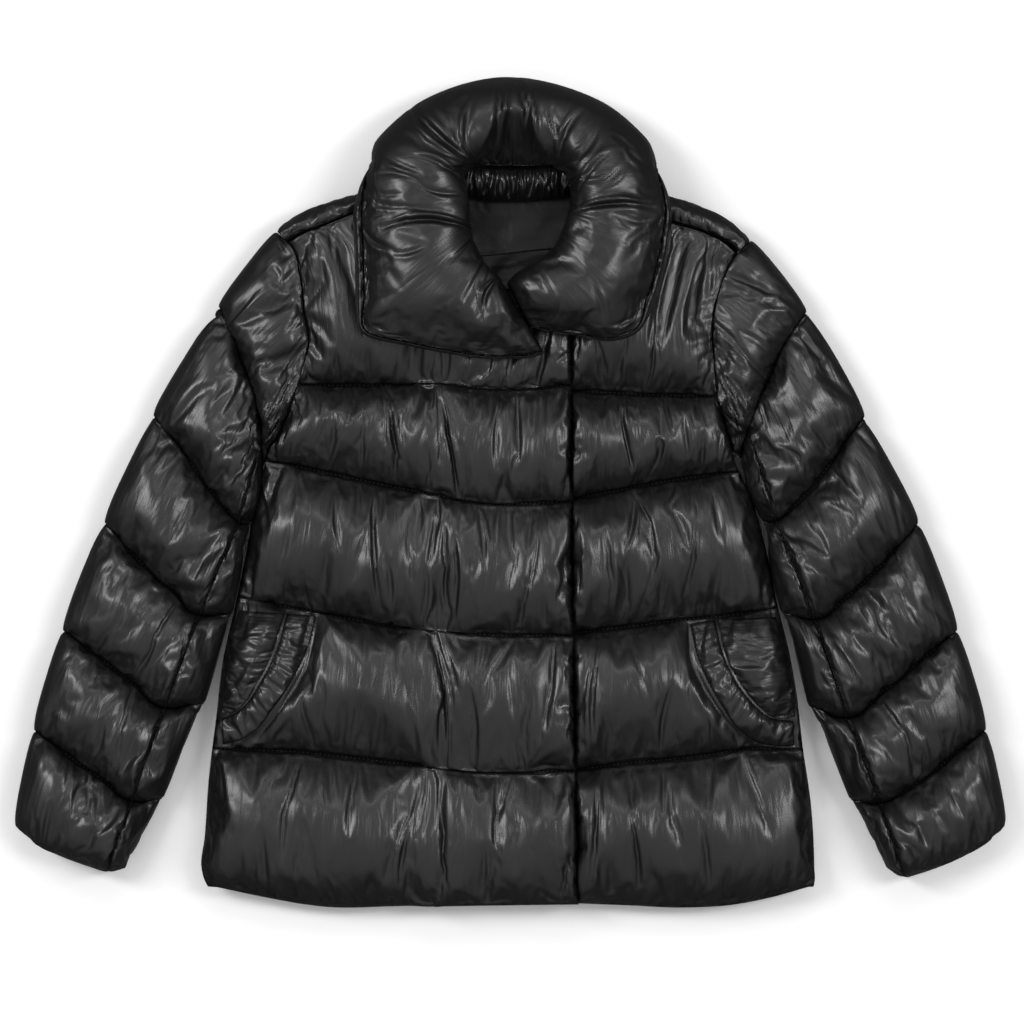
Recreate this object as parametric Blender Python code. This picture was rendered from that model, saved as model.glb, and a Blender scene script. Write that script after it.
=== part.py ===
"""Women's quilted puffer jacket with a wide rolled collar, laid flat on its back.

The front faces +Z, the collar points to +Y and the wearer's left is +X.  Every piece of
cloth is a padded or plain wall of its own: a quilted outer side over a plain inner side.
Tables are in millimetres and every mesh is made in metres.
"""
from collections import namedtuple

import bmesh
import bpy
import numpy as np
from mathutils import Vector
from mathutils.bvhtree import BVHTree

MM = 0.001
SHARP_ANGLE = 0.9
HIGH_ABOVE = 1.0

# Heights over the surface that the jacket lies on.
BACK_INSIDE = 29.7
FRONT_INSIDE = 30.0
LAP_UNDER = 39.9
LAP_INSIDE = 40.4
CREST = 64.0
TOP_CREST = 57.5
SHOULDER_SEAM = 50.0
STITCH_COVER = 6.0
EDGE_COVER = 1.5
SIDE_SEAM = 31.0
ARMHOLE_SEAM = 43.0
EDGE_RADIUS = 32.0
OPENING_RADIUS = 24.0
OPENING_ROLL_START = 20.0
ARMPIT_RISE = (10.0, 40.0)
SEAM_GAP = 0.3
ARMHOLE_GAP = {"right": 1.1, "left": 0.9}
PUFF_POWER = 2.6
PUFF_FULLNESS = 0.55

# How each channel between two stitch lines is cut into rows.
CHANNEL_ROWS = (0.0, 0.05, 0.19, 0.5, 0.81, 0.95)
TOP_CHANNEL_ROWS = (0.0, 0.05, 0.19, 0.28, 0.37, 0.5, 0.66, 0.81, 0.95)

# The side seam and, above the armpit, the armhole.  Columns: y, x.
RIGHT_SIDE = (
    (-396, -270), (-385, -286), (-374, -294), (-360, -298), (-331, -295), (-274, -291), (-216, -284),
    (-158, -277), (-101, -264), (-62, -256), (-24, -249), (24, -238), (43, -232), (62, -221),
    (86, -211), (106, -204), (120, -200), (144, -194), (178, -198), (211, -202), (243, -213),
    (253, -224),
)
LEFT_SIDE = (
    (-398, 270), (-386, 289), (-374, 294), (-360, 294), (-331, 293), (-302, 291), (-245, 283),
    (-187, 276), (-158, 271), (-101, 257), (-47, 246), (5, 230), (25, 220), (59, 209), (77, 204),
    (94, 199), (114, 197), (139, 195), (173, 196), (192, 200), (214, 208), (232, 218), (245, 231),
)
# The opening edge of the front that laps over.  Columns: y, x.
OPENING_EDGE = ((-398, 66), (-265, 64), (-135, 62), (-6, 60), (106, 60), (200, 60))

# Stitch lines of each front, hem first.  Columns: y at the opening edge, a quarter, half and three
# quarters of the way and at the side, then where the long crease crosses, as a share of the way.
LINE_PLACES = (0.0, 0.25, 0.5, 0.75, 1.0)
RIGHT_LINES = (
    (-394, -395, -396.5, -396.5, -376, 0.34),
    (-265, -266, -258, -248, -244, 0.375),
    (-135, -134, -127, -114, -97, 0.37),
    (-6, -8, 4, 19, 34, 0.385),
    (106, 102, 107, 106, 106, 0.46),
)
LEFT_LINES = (
    (-394, -396, -398, -394, -376, 0.10),
    (-265, -258, -253, -245, -245, 0.11),
    (-133, -127, -121, -116, -108, 0.12),
    (-4, 4, 12, 18, 23, 0.14),
    (100, 99, 97, 96, 95, 0.18),
)
# Neckline and forward shoulder seam, from the opening edge to the armhole.  Columns: share, y.
RIGHT_TOP = (
    (0.0, 185), (0.25, 185), (0.34, 195), (0.385, 222), (0.415, 262), (0.455, 286), (0.51, 290),
    (0.60, 281), (0.74, 270), (0.873, 255), (0.945, 248.5), (1.0, 243),
)
LEFT_TOP = (
    (-1.0, 185), (-0.5, 185), (-0.25, 202), (0.0, 224), (0.06, 254), (0.11, 283), (0.18, 291),
    (0.40, 273), (0.56, 261), (0.72, 253), (0.83, 245), (0.93, 237.5), (1.0, 232),
)
TOP_CREASE = {"front_right": 0.43, "front_left": 0.18}

# Columns of points across a front: 0 at the edge, 1 on the crease, 2 at the side.
RIGHT_ACROSS = (
    0.0, 0.03, 0.10, 0.22, 0.42, 0.62, 0.80, 0.90, 0.95, 1.0, 1.045, 1.10, 1.20, 1.32, 1.44,
    1.56, 1.68, 1.79, 1.88, 1.94, 1.98, 2.0,
)
LEFT_ACROSS = (
    -1.0, -0.5, 0.0, 0.16, 0.45, 0.75, 1.0, 1.08, 1.17, 1.28, 1.40, 1.52, 1.64, 1.76, 1.86,
    1.93, 1.975, 2.0,
)
UNDERLAP_WIDTH = 108.0
LAP_END = 76.0
LAP_SLOPE = 22.0
LAP_RAMP = (9, 11)

# Main folds pressed into a front: place, run, half width and depth.
Fold = namedtuple("Fold", "panel x y_low y_high lean half_width depth")
FOLDS = [Fold(*row) for row in (
    ("front_right", -57, -394, -270, 6, 7, 9.0),
    ("front_right", -66, -262, -138, -8, 7, 8.0),
    ("front_right", -56, -130, -12, 4, 7, 8.0),
    ("front_right", -59, -2, 100, -9, 7, 8.0),
    ("front_right", -64, 108, 150, 0, 7, 5.0),
    ("front_right", -116, 6, 100, 5, 12, 4.0),
    ("front_right", -128, -112, 8, 4, 12, 4.0),
    ("front_right", -150, -380, -300, -8, 14, 3.0),
    ("front_left", 80, -380, -140, 6, 8, 6.0),
    ("front_left", 113, -60, 0, 12, 11, 4.5),
    ("front_left", 112, 24, 80, -8, 11, 4.0),
    ("front_left", 134, 96, 139, 4, 11, 4.0),
    ("front_left", 200, -60, 10, -10, 13, 3.0),
)]
FOLD_END = 0.2

# Sleeve stitch lines, from the outer edge to the inner edge; the fourth point is on the seam.
SLEEVE_PLACES = (0.0, 0.27, 0.54, 0.80, 1.0)
RIGHT_SLEEVE = (
    ((-280, 180), (-261, 137), (-244, 89), (-238, 50), (-238, 28)),
    ((-343, 75), (-315, 40), (-287, 3), (-261, -27), (-251, -27)),
    ((-390, -28), (-358, -63), (-326, -93), (-299, -116), (-268, -114)),
    ((-430, -132), (-396, -157), (-363, -182), (-332, -205), (-295, -201)),
    ((-458, -228), (-425, -252), (-394, -274), (-364, -295), (-336, -293)),
    ((-476, -321), (-451, -340), (-419, -354), (-387, -363), (-371, -360)),
)
LEFT_SLEEVE = (
    ((285, 175), (265, 144), (245, 105), (228, 62), (222, 36)),
    ((341, 74), (315, 39), (288, 4), (256, -25), (243, -24)),
    ((393, -29), (360, -66), (325, -98), (293, -120), (262, -113)),
    ((430, -132), (398, -158), (363, -187), (324, -215), (288, -203)),
    ((458, -228), (424, -254), (393, -277), (356, -297), (329, -294)),
    ((476, -321), (451, -341), (416, -358), (379, -368), (364, -360)),
)
ARMPIT_Y = {"right": 34.0, "left": 40.0}
SLEEVE_CREST = 63.0
SLEEVE_INSIDE = 30.4
SLEEVE_FLOOR_INSIDE = 29.6
SLEEVE_BULGE = 4.5
ARMHOLE_LIFT = 16.0
CUFF_LIFT = 22.0
CUFF_LIFT_START = 0.8
CUFF_COVER = 3.0
SEAM_SHARE_GAP = 0.0013
SLEEVE_ROWS = (0.0, 0.07, 0.28, 0.72, 0.93)
TOP_ACROSS = (0.80, 0.66, 0.50, 0.35, 0.22, 0.12, 0.05, 0.015, 0.0)
TOP_BENEATH = (0.015, 0.06, 0.14, 0.24, 0.45, 0.70)
UNDER_ACROSS = (0.80, 0.88, 0.94, 0.98, 1.0)
UNDER_BENEATH = (0.98, 0.93, 0.84, 0.70)
TURN_IN = 0.14

# Silhouette of the shoulders and the back neck edge.  Columns: x, y.
BACK_TOP_EDGE = (
    (-218, 259), (-207, 266), (-187, 276), (-163, 285), (-135, 293), (-106, 299), (-77, 301),
    (-58, 297), (-30, 291), (0, 289), (30, 291), (58, 297), (79, 301), (106, 299), (135, 293),
    (163, 285), (187, 276), (206, 266), (220, 257),
)
HEM_WIDTH = {"front_right": -360.0, "front_left": 230.0}
HEM_STEP = 24
LEFT_SIDE_STOPS = (-390, -380, -366, -340, -300, -245, -190, -135, -80, -30, 10, 40, 70, 100, 130,
                   160, 190, 215, 235)
RIGHT_SIDE_STOPS = (243, 220, 190, 160, 130, 100, 70, 45, 15, -30, -80, -135, -190, -245, -300,
                    -340, -366, -380, -390)
# The back's rounded rim, pinched where stitch lines meet the side.  Columns: inset, height.
BACK_RIM = ((2.5, 29.4), (0.0, 20.0), (2.5, 10.0), (8.0, 3.0), (18.0, 0.0))
BACK_ARMHOLE_INSET = 1.5
ARMHOLE_FROM_X = 190.0
SIDE_FROM_X = 230.0
RIM_SMOOTHING = 5.0
PINCH_DEPTH = 3.0
PINCH_REACH = 9.0

# Cloth of the back that comes forward over each shoulder, from this far off the centre.
# Columns of its section: share of the way from the seam to the edge, height.
SHOULDER_START = 126.0
SHOULDER_SEAM_GAP = 0.5
SHOULDER_SECTION = (
    (0.0, 49.0), (0.25, 53.0), (0.55, 51.5), (0.82, 45.0), (0.95, 37.0), (1.0, 29.0),
    (0.99, 21.0), (0.80, 20.0), (0.80, 31.5), (0.0, 31.5),
)

# Pocket bands: the curve that lies inward and the curve nearer the side seam.
POCKETS = {
    "right": (
        ((-187, -116), (-192, -140), (-201, -162), (-214, -187), (-228, -206), (-243, -225),
         (-260, -236), (-277, -241)),
        ((-215, -114), (-221, -138), (-229, -160), (-240, -180), (-250, -196), (-261, -207),
         (-270, -212), (-278, -215)),
    ),
    "left": (
        ((173, -124), (179, -152), (190, -180), (205, -206), (220, -226), (237, -238),
         (256, -242), (274, -242)),
        ((198, -120), (203, -147), (214, -174), (228, -194), (240, -206), (252, -214),
         (263, -216), (273, -217)),
    ),
}
BAND_STATIONS = 15
BAND_SHARES = (0.0, 0.08, 0.3, 0.7, 0.92, 1.0)
BAND_PADDING = 7.0
BAND_CLOTH = 1.6
POCKET_BACK_STATIONS = 12
POCKET_BACK_SHARES = (0.0, 0.1, 0.35, 0.65, 0.9, 1.0)
POCKET_BACK_THICKNESS = 3.0
POCKET_BACK_PADDING = 1.5
POCKET_BACK_LIFT = 0.9
POCKET_BACK_START = (1.2, 0.4)
POCKET_BACK_END = (6.0, 3.0)
POCKET_FOOTPRINT = 4.5

# Collar stations, from the centre front round to the centre back: the inner edge, the
# outer edge, how far the collar has left the fronts for the floor, and its height.
Station = namedtuple("Station", "inner_x inner_y outer_x outer_y on_floor height")
COLLAR_RIGHT = (
    (-7, 202, 33, 135, 0.0, 0.80),
    (-10, 205, 20, 131, 0.0, 0.88),
    (-13, 209, 2, 130, 0.0, 0.95),
    (-19, 216, -25, 130, 0.0, 1.0),
    (-25, 224, -60, 135, 0.0, 1.0),
    (-30, 233, -96, 142, 0.0, 0.98),
    (-35, 245, -131, 150, 0.0, 0.96),
    (-37, 256, -147, 172, 0.0, 0.97),
    (-38, 266, -148, 204, 0.0, 0.98),
    (-39, 278, -149, 235, 0.0, 0.98),
    (-41, 292, -150, 269, 0.0, 0.98),
    (-42, 304, -144, 303, 0.12, 0.98),
    (-38, 311, -134, 329, 0.38, 0.98),
    (-31, 314, -117, 352, 0.65, 0.97),
    (-22, 315, -86, 376, 0.88, 0.96),
    (-10, 315, -44, 393, 1.0, 0.95),
    (2, 315, -3, 399, 1.0, 0.92),
)
COLLAR_LEFT = (
    (-3, 202, 19, 159, 0.0, 0.78),
    (1, 206, 30, 157, 0.0, 0.86),
    (8, 212, 46, 154, 0.0, 0.94),
    (20, 220, 72, 150, 0.0, 1.0),
    (32, 228, 99, 147, 0.0, 1.0),
    (42, 239, 124, 157, 0.0, 0.98),
    (47, 250, 139, 186, 0.0, 0.97),
    (52, 262, 148, 218, 0.0, 0.98),
    (56, 274, 153, 246, 0.0, 0.98),
    (57, 286, 155, 272, 0.02, 0.98),
    (54, 299, 149, 302, 0.12, 0.98),
    (49, 308, 138, 329, 0.38, 0.98),
    (42, 314, 120, 352, 0.65, 0.97),
    (32, 315, 88, 376, 0.88, 0.96),
    (18, 315, 42, 393, 1.0, 0.94),
)
# Sections of the collar: where it lies on the fronts, where it hangs over the shoulder, and where
# it lies folded on the floor.  Columns: share of its width and height, for each of the three.
UPPER_FACE = (
    (0.10, 60.5, 0.06, 49, -0.17, 32.5), (0.03, 69, 0.02, 63, -0.02, 44), (0.0, 81, 0.01, 76, 0.03, 57),
    (0.03, 93, 0.05, 90, 0.10, 68), (0.12, 103, 0.16, 100, 0.25, 80), (0.27, 108, 0.33, 105, 0.45, 87),
    (0.43, 108, 0.52, 104, 0.66, 86), (0.58, 105, 0.70, 98, 0.84, 77), (0.71, 99, 0.86, 86, 0.96, 61),
    (0.81, 92, 0.96, 70, 1.0, 42), (0.88, 85, 1.0, 50, 0.95, 18), (0.925, 79, 0.99, 32, 0.80, 0),
    (0.935, 75, 0.955, 22, 0.385, 0),
)
UPPER_INSIDE = (
    (0.90, 73.5, 0.90, 23, 0.385, 13), (0.75, 72.5, 0.87, 40, 0.72, 14), (0.60, 72, 0.80, 56, 0.83, 24),
    (0.35, 70, 0.50, 62, 0.72, 33), (0.16, 66, 0.13, 55, -0.15, 30.5),
)
LOWER_SECTION = (
    (0.948, 73.0, 0.943, 20, 0.366, 1.0), (0.985, 74.0, 0.92, 15.5, 0.342, 2.5),
    (1.0, 67.0, 0.88, 13.5, 0.33, 11), (0.96, 58.3, 0.83, 18, 0.35, 21.5),
    (0.75, 57.9, 0.80, 32, 0.66, 22.6), (0.60, 57.9, 0.745, 45, 0.70, 24.0),
    (0.35, 57.9, 0.50, 50.5, 0.62, 25.2), (0.185, 57.9, 0.15, 46.5, -0.13, 25),
    (0.185, 65, 0.15, 54.2, -0.13, 29.7), (0.35, 69.0, 0.50, 61.2, 0.705, 32.4),
    (0.60, 71.0, 0.785, 55, 0.815, 24), (0.75, 71.5, 0.855, 39.5, 0.705, 14.6),
    (0.89, 72.3, 0.885, 22.5, 0.366, 13.9),
)
COLLAR_MIDDLE = 76.5
STATIONS_BETWEEN = 2
END_ROUNDING = 20.0
END_SWELL = 0.35
END_BASE = 70.0
END_ON_FRONTS = 0.05
FACE_SPAN = 11.0
FACE_ROUNDNESS = 0.7
GATHER_DEPTH = 1.4
GATHER_PLACE = 4
# Creases that run across the collar.  Columns: x and y on its outer edge, width, depth.
COLLAR_CREASES = (
    (-11, 399, 6, 15), (6, 399, 6, 15), (-146, 262, 12, 5), (150, 286, 12, 5),
    (-100, 366, 12, 4), (104, 366, 12, 4), (-150, 216, 10, 4),
)
CENTRE_RECESS = 22.0
CENTRE_X = 5.0
CENTRE_REACH = 24.0
CENTRE_SHARE = 0.8

# Inside the neck: the gathered band, the facing and the lining under its seam.
BAND_GATHERS = 13
BAND_GATHER_DEPTH = 1.5
BAND_EDGE_GATHER = 0.4
BAND_WALL = 2.4
NECK_BAND_X = (-37.0, 45.0)
NECK_BAND_LOW = (287.0, 39.5)
NECK_BAND_HIGH = (312.7, 57.5)
NECK_BAND_BOW = 6.0
NECK_BAND_ARCH = 2.5
CLOTH_WALL = 2.0
NECK_FACING = ((-48, 232), (3, 235.5), (54, 237), (62, 262), (63, 284), (30, 287), (-20, 287),
               (-46, 284), (-49, 262))
NECK_LINING = ((-30, 203), (-2, 198), (24, 205), (40, 220), (50, 236), (3, 235.1), (-44, 231.4))


def clear_scene():
    for old in list(bpy.data.objects):
        bpy.data.objects.remove(old, do_unlink=True)


def cloth_material(name, colour, roughness):
    """A cloth finish: linear colour, roughness, no metal."""
    material = bpy.data.materials.new(name)
    material.use_nodes = True
    shader = material.node_tree.nodes["Principled BSDF"]
    shader.inputs["Base Color"].default_value = (*colour, 1.0)
    shader.inputs["Roughness"].default_value = roughness
    shader.inputs["Metallic"].default_value = 0.0
    return material


def smooth(table, at):
    """Read a table of rows (key, value, ...) on a smooth curve; the keys rise."""
    rows = np.asarray(table, dtype=float)
    keys, values = rows[:, 0], rows[:, 1:]
    slopes = np.gradient(values, keys, axis=0)
    at = min(max(at, keys[0]), keys[-1])
    i = min(int(np.searchsorted(keys, at, side="right")) - 1, len(keys) - 2)
    span = keys[i + 1] - keys[i]
    t = (at - keys[i]) / span
    value = (
        (2 * t ** 3 - 3 * t ** 2 + 1) * values[i]
        + (t ** 3 - 2 * t ** 2 + t) * span * slopes[i]
        + (3 * t ** 2 - 2 * t ** 3) * values[i + 1]
        + (t ** 3 - t ** 2) * span * slopes[i + 1]
    )
    return value[0] if value.size == 1 else value


def ease(value):
    value = min(max(value, 0.0), 1.0)
    return value * value * (3 - 2 * value)


def rounded(distance, radius):
    """Rise of a rounded edge: 0 on the edge, 1 from one radius in."""
    share = min(max(distance / radius, 0.0), 1.0)
    return (1 - (1 - share) ** 2) ** 0.5


def puff(share):
    """Swell of a channel between two stitch lines."""
    return (1 - abs(2 * share - 1) ** PUFF_POWER) ** PUFF_FULLNESS


class Cloth:
    """Collects points and faces, skips faces that have closed up, and makes the object."""

    def __init__(self, name, material):
        self.name = name
        self.material = material
        self.mesh = bmesh.new()

    def point(self, x, y, z):
        return self.mesh.verts.new((x * MM, y * MM, z * MM))

    def face(self, *corners):
        kept = [c for i, c in enumerate(corners) if c is not corners[i - 1]]
        if len(kept) > 2:
            self.mesh.faces.new(kept)

    def skin(self, grid, closed=False):
        """Triangles over rows of points, split along the shorter diagonal; closed rows are loops."""
        for low, high in zip(grid[:-1], grid[1:]):
            last = len(low) if closed else len(low) - 1
            for i in range(last):
                j = (i + 1) % len(low)
                if (low[i].co - high[j].co).length <= (low[j].co - high[i].co).length:
                    self.face(low[i], low[j], high[j])
                    self.face(low[i], high[j], high[i])
                else:
                    self.face(low[i], low[j], high[i])
                    self.face(low[j], high[j], high[i])

    def finish(self):
        bmesh.ops.recalc_face_normals(self.mesh, faces=self.mesh.faces)
        data = bpy.data.meshes.new(self.name)
        self.mesh.to_mesh(data)
        data.materials.append(self.material)
        data.shade_smooth()
        data.set_sharp_from_angle(angle=SHARP_ANGLE)
        piece = bpy.data.objects.new(self.name, data)
        bpy.context.scene.collection.objects.link(piece)
        return piece


# ---------------------------------------------------------------------------- fronts


def line_share(across, crease):
    """Share of the way from the opening edge to the side for a column of points."""
    if across <= 0:
        return across
    if across <= 1:
        return across * crease
    return crease + (across - 1) * (1 - crease)


def front_x(name, share, y):
    side = smooth(RIGHT_SIDE if name == "front_right" else LEFT_SIDE, y)
    edge = smooth(OPENING_EDGE, y)
    if name == "front_left":
        edge += 1.0
    if share < 0:
        return edge + share * UNDERLAP_WIDTH
    return edge + share * (side - edge)


def front_lines(name, across):
    """Share and height of one column of points on every line, hem first."""
    lines = RIGHT_LINES if name == "front_right" else LEFT_LINES
    top = RIGHT_TOP if name == "front_right" else LEFT_TOP
    found = []
    for row in lines:
        share = line_share(across, row[5])
        found.append((share, smooth(list(zip(LINE_PLACES, row[:5])), max(share, 0.0))))
    share = line_share(across, TOP_CREASE[name])
    found.append((share, smooth(top, share)))
    return found


def fold_depth(name, x, y):
    depth = 0.0
    for fold in FOLDS:
        if fold.panel != name or not fold.y_low < y < fold.y_high:
            continue
        along = (y - fold.y_low) / (fold.y_high - fold.y_low)
        centre = fold.x + fold.lean * (along - 0.5)
        from_end = min(along, 1 - along) / FOLD_END
        depth += fold.depth * ease(from_end) * np.exp(-((x - centre) / fold.half_width) ** 2)
    return depth


def front_height(name, x, y, share, channel, along):
    """Height of the quilted outer side of a front."""
    lap = 1 - ease((-x - LAP_END) / LAP_SLOPE) if name == "front_right" else 0.0
    inside = FRONT_INSIDE + (LAP_INSIDE - FRONT_INSIDE) * lap
    cover = [EDGE_COVER] + [STITCH_COVER] * 4 + [SHOULDER_SEAM - inside]
    base = inside + cover[channel] + (cover[channel + 1] - cover[channel]) * along
    crest = TOP_CREST if channel == 4 else CREST
    height = base + (crest - base) * puff(along)
    height -= fold_depth(name, x, y) * puff(along)
    side_x = front_x(name, 1.0, y)
    at_seam = SIDE_SEAM + (ARMHOLE_SEAM - SIDE_SEAM) * ease((y - ARMPIT_RISE[0]) / ARMPIT_RISE[1])
    height = at_seam + (height - at_seam) * rounded(abs(side_x - x), EDGE_RADIUS)
    roll = rounded(abs(front_x(name, 0.0, y) - x), OPENING_RADIUS)
    if name == "front_right":
        low = LAP_INSIDE + EDGE_COVER
        return low + (height - low) * roll if x > OPENING_ROLL_START else height
    return LAP_UNDER if share <= 0 else LAP_UNDER + (height - LAP_UNDER) * roll


def front_inside(name, across_index):
    if name == "front_left" or across_index >= LAP_RAMP[1]:
        return FRONT_INSIDE
    if across_index <= LAP_RAMP[0]:
        return LAP_INSIDE
    return 0.5 * (LAP_INSIDE + FRONT_INSIDE)


def make_front(name, material):
    """One front: quilted outer side, plain inner side and a rim between them."""
    across = RIGHT_ACROSS if name == "front_right" else LEFT_ACROSS
    columns = [front_lines(name, place) for place in across]
    places = [(c, t) for c in range(4) for t in CHANNEL_ROWS]
    places += [(4, t) for t in (*TOP_CHANNEL_ROWS, 1.0)]
    cloth = Cloth(name, material)
    grid = []
    for channel, along in places:
        row = []
        for column in columns:
            (share_a, y_a), (share_b, y_b) = column[channel], column[channel + 1]
            share = share_a + (share_b - share_a) * along
            y = y_a + (y_b - y_a) * along
            x = front_x(name, share, y)
            x -= np.sign(x) * SEAM_GAP if share == 1.0 else 0.0
            row.append(cloth.point(x, y, front_height(name, x, y, share, channel, along)))
        grid.append(row)
    cloth.skin(grid)
    under = {}

    def inner(row, col):
        key = (row % len(grid), col % len(across))
        if key not in under:
            x, y, _ = grid[key[0]][key[1]].co / MM
            under[key] = cloth.point(x, y, front_inside(name, key[1]))
        return under[key]

    last_row, last_col = len(grid) - 1, len(across) - 1
    for col in (0, last_col):
        for row in range(last_row):
            cloth.face(grid[row][col], grid[row + 1][col], inner(row + 1, col), inner(row, col))
    for row in (0, last_row):
        for col in range(last_col):
            cloth.face(grid[row][col], grid[row][col + 1], inner(row, col + 1), inner(row, col))
    splits = [0, last_col] if name == "front_left" else [0, *range(LAP_RAMP[0], LAP_RAMP[1] + 1), last_col]
    for start, stop in zip(splits[:-1], splits[1:]):
        loop = [inner(0, col) for col in range(start, stop + 1)]
        if stop == last_col:
            loop += [inner(row, stop) for row in range(1, last_row)]
        loop += [inner(last_row, col) for col in range(stop, start - 1, -1)]
        if start == 0:
            loop += [inner(row, 0) for row in range(last_row - 1, 0, -1)]
        cloth.face(*loop)
    return cloth.finish()


# ------------------------------------------------------------------------------ back


def hem_line(name, xs):
    """Points of the hem under one front."""
    line = RIGHT_LINES[0] if name == "front_right" else LEFT_LINES[0]
    edge = OPENING_EDGE[0][1]
    width = HEM_WIDTH[name]
    table = sorted((edge + width * place, y) for place, y in zip(LINE_PLACES, line[:5]))
    return [(x, smooth(table, x)) for x in xs]


def back_outline():
    """Closed outline of the back, anticlockwise from the right of the hem."""
    hem = hem_line("front_right", range(-240, 60, HEM_STEP))
    hem += hem_line("front_left", range(72, 262, HEM_STEP))
    up = [(smooth(LEFT_SIDE, y), y) for y in LEFT_SIDE_STOPS]
    down = [(smooth(RIGHT_SIDE, y), y) for y in RIGHT_SIDE_STOPS]
    return np.array(hem + up + list(reversed(BACK_TOP_EDGE)) + down, dtype=float)


def inset(outline, distance):
    """The outline moved inwards along its own normals."""
    before, after = np.roll(outline, 1, axis=0), np.roll(outline, -1, axis=0)
    run = after - before
    run /= np.linalg.norm(run, axis=1)[:, None]
    normal = np.stack([-run[:, 1], run[:, 0]], axis=1)
    return outline + normal * np.asarray(distance)[..., None]


def make_back(material):
    """The back: a plain inner side, a rounded rim pinched at the stitch lines, a flat underside."""
    outline = back_outline()
    cloth = Cloth("back", material)
    off_centre = np.abs(outline[:, 0])
    pinch = sum(np.exp(-((outline[:, 1] - row[4]) / PINCH_REACH) ** 2) for row in RIGHT_LINES[1:4])
    pinch *= off_centre > SIDE_FROM_X
    at_armhole = (outline[:, 1] > ARMPIT_Y["right"]) * (off_centre > ARMHOLE_FROM_X)
    outline = inset(outline, BACK_ARMHOLE_INSET * at_armhole)
    rings = []
    top = inset(outline, np.full(len(outline), BACK_RIM[0][0]))
    rings.append([cloth.point(x, y, BACK_INSIDE) for x, y in top])
    for distance, height in BACK_RIM:
        ring = inset(outline, distance + PINCH_DEPTH * pinch * (height < BACK_RIM[0][1]))
        for _ in range(int(distance // RIM_SMOOTHING)):
            ring = (np.roll(ring, 1, axis=0) + 2 * ring + np.roll(ring, -1, axis=0)) / 4
        rings.append([cloth.point(x, y, height) for x, y in ring])
    cloth.skin(rings, closed=True)
    cloth.face(*rings[0])
    cloth.face(*rings[-1])
    return cloth.finish()


def shoulder_piece(name, front):
    """Cloth of the back that turns forward over one shoulder, joined to the back afterwards."""
    cloth = Cloth(name, None)
    loops = []
    for across in RIGHT_ACROSS if front == "front_right" else LEFT_ACROSS:
        share, seam_y = front_lines(front, across)[-1]
        x = front_x(front, share, seam_y)
        if abs(x) < SHOULDER_START:
            continue
        edge_y = smooth(BACK_TOP_EDGE, x)
        seam_y += SHOULDER_SEAM_GAP
        width = edge_y - seam_y
        loops.append([cloth.point(x, seam_y + width * place, z) for place, z in SHOULDER_SECTION])
    cloth.skin(loops, closed=True)
    cloth.face(*loops[0])
    cloth.face(*loops[-1])
    piece = cloth.finish()
    piece.hide_render = True
    piece.display_type = "WIRE"
    return piece


# --------------------------------------------------------------------------- sleeves


def sleeve_line(lines, side, index, share):
    """A point of stitch line `index`; line 0 is the armhole."""
    sign = -1 if side == "right" else 1
    if index == 0:
        table = RIGHT_SIDE if side == "right" else LEFT_SIDE
        tip = table[-1][0]
        y = tip + (ARMPIT_Y[side] - tip) * share
        return np.array((smooth(table, y) + sign * ARMHOLE_GAP[side], y))
    row = lines[index - 1]
    return smooth([(p, *xy) for p, xy in zip(SLEEVE_PLACES, row)], share)


def sleeve_plan(lines, side, channel, along, share):
    """Where a point of the sleeve lies, seen from above."""
    low = sleeve_line(lines, side, channel, share)
    high = sleeve_line(lines, side, channel + 1, share)
    point = low + (high - low) * along
    run = (high - low) / np.linalg.norm(high - low)
    outward = np.array((run[1], -run[0])) * (-1 if side == "left" else 1)
    return point + outward * SLEEVE_BULGE * puff(along) * (1 - share) ** 3


def sleeve_heights(channel, along, distance):
    """Heights of the upper and under surface of a sleeve."""
    base = FRONT_INSIDE + STITCH_COVER
    under = 0.0
    if channel == 0:
        base += (ARMHOLE_SEAM - base) * (1 - along)
        under = ARMHOLE_LIFT * max(0.0, 1 - 2 * along) ** 2
    elif channel == len(RIGHT_SLEEVE) - 1:
        base += (FRONT_INSIDE + CUFF_COVER - base) * along
        under = CUFF_LIFT * max(0.0, (along - CUFF_LIFT_START) / (1 - CUFF_LIFT_START)) ** 2
    upper = base + (SLEEVE_CREST - base) * puff(along)
    lift = rounded(distance, EDGE_RADIUS)
    return FRONT_INSIDE + (upper - FRONT_INSIDE) * lift, FRONT_INSIDE + (under - FRONT_INSIDE) * lift


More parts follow.
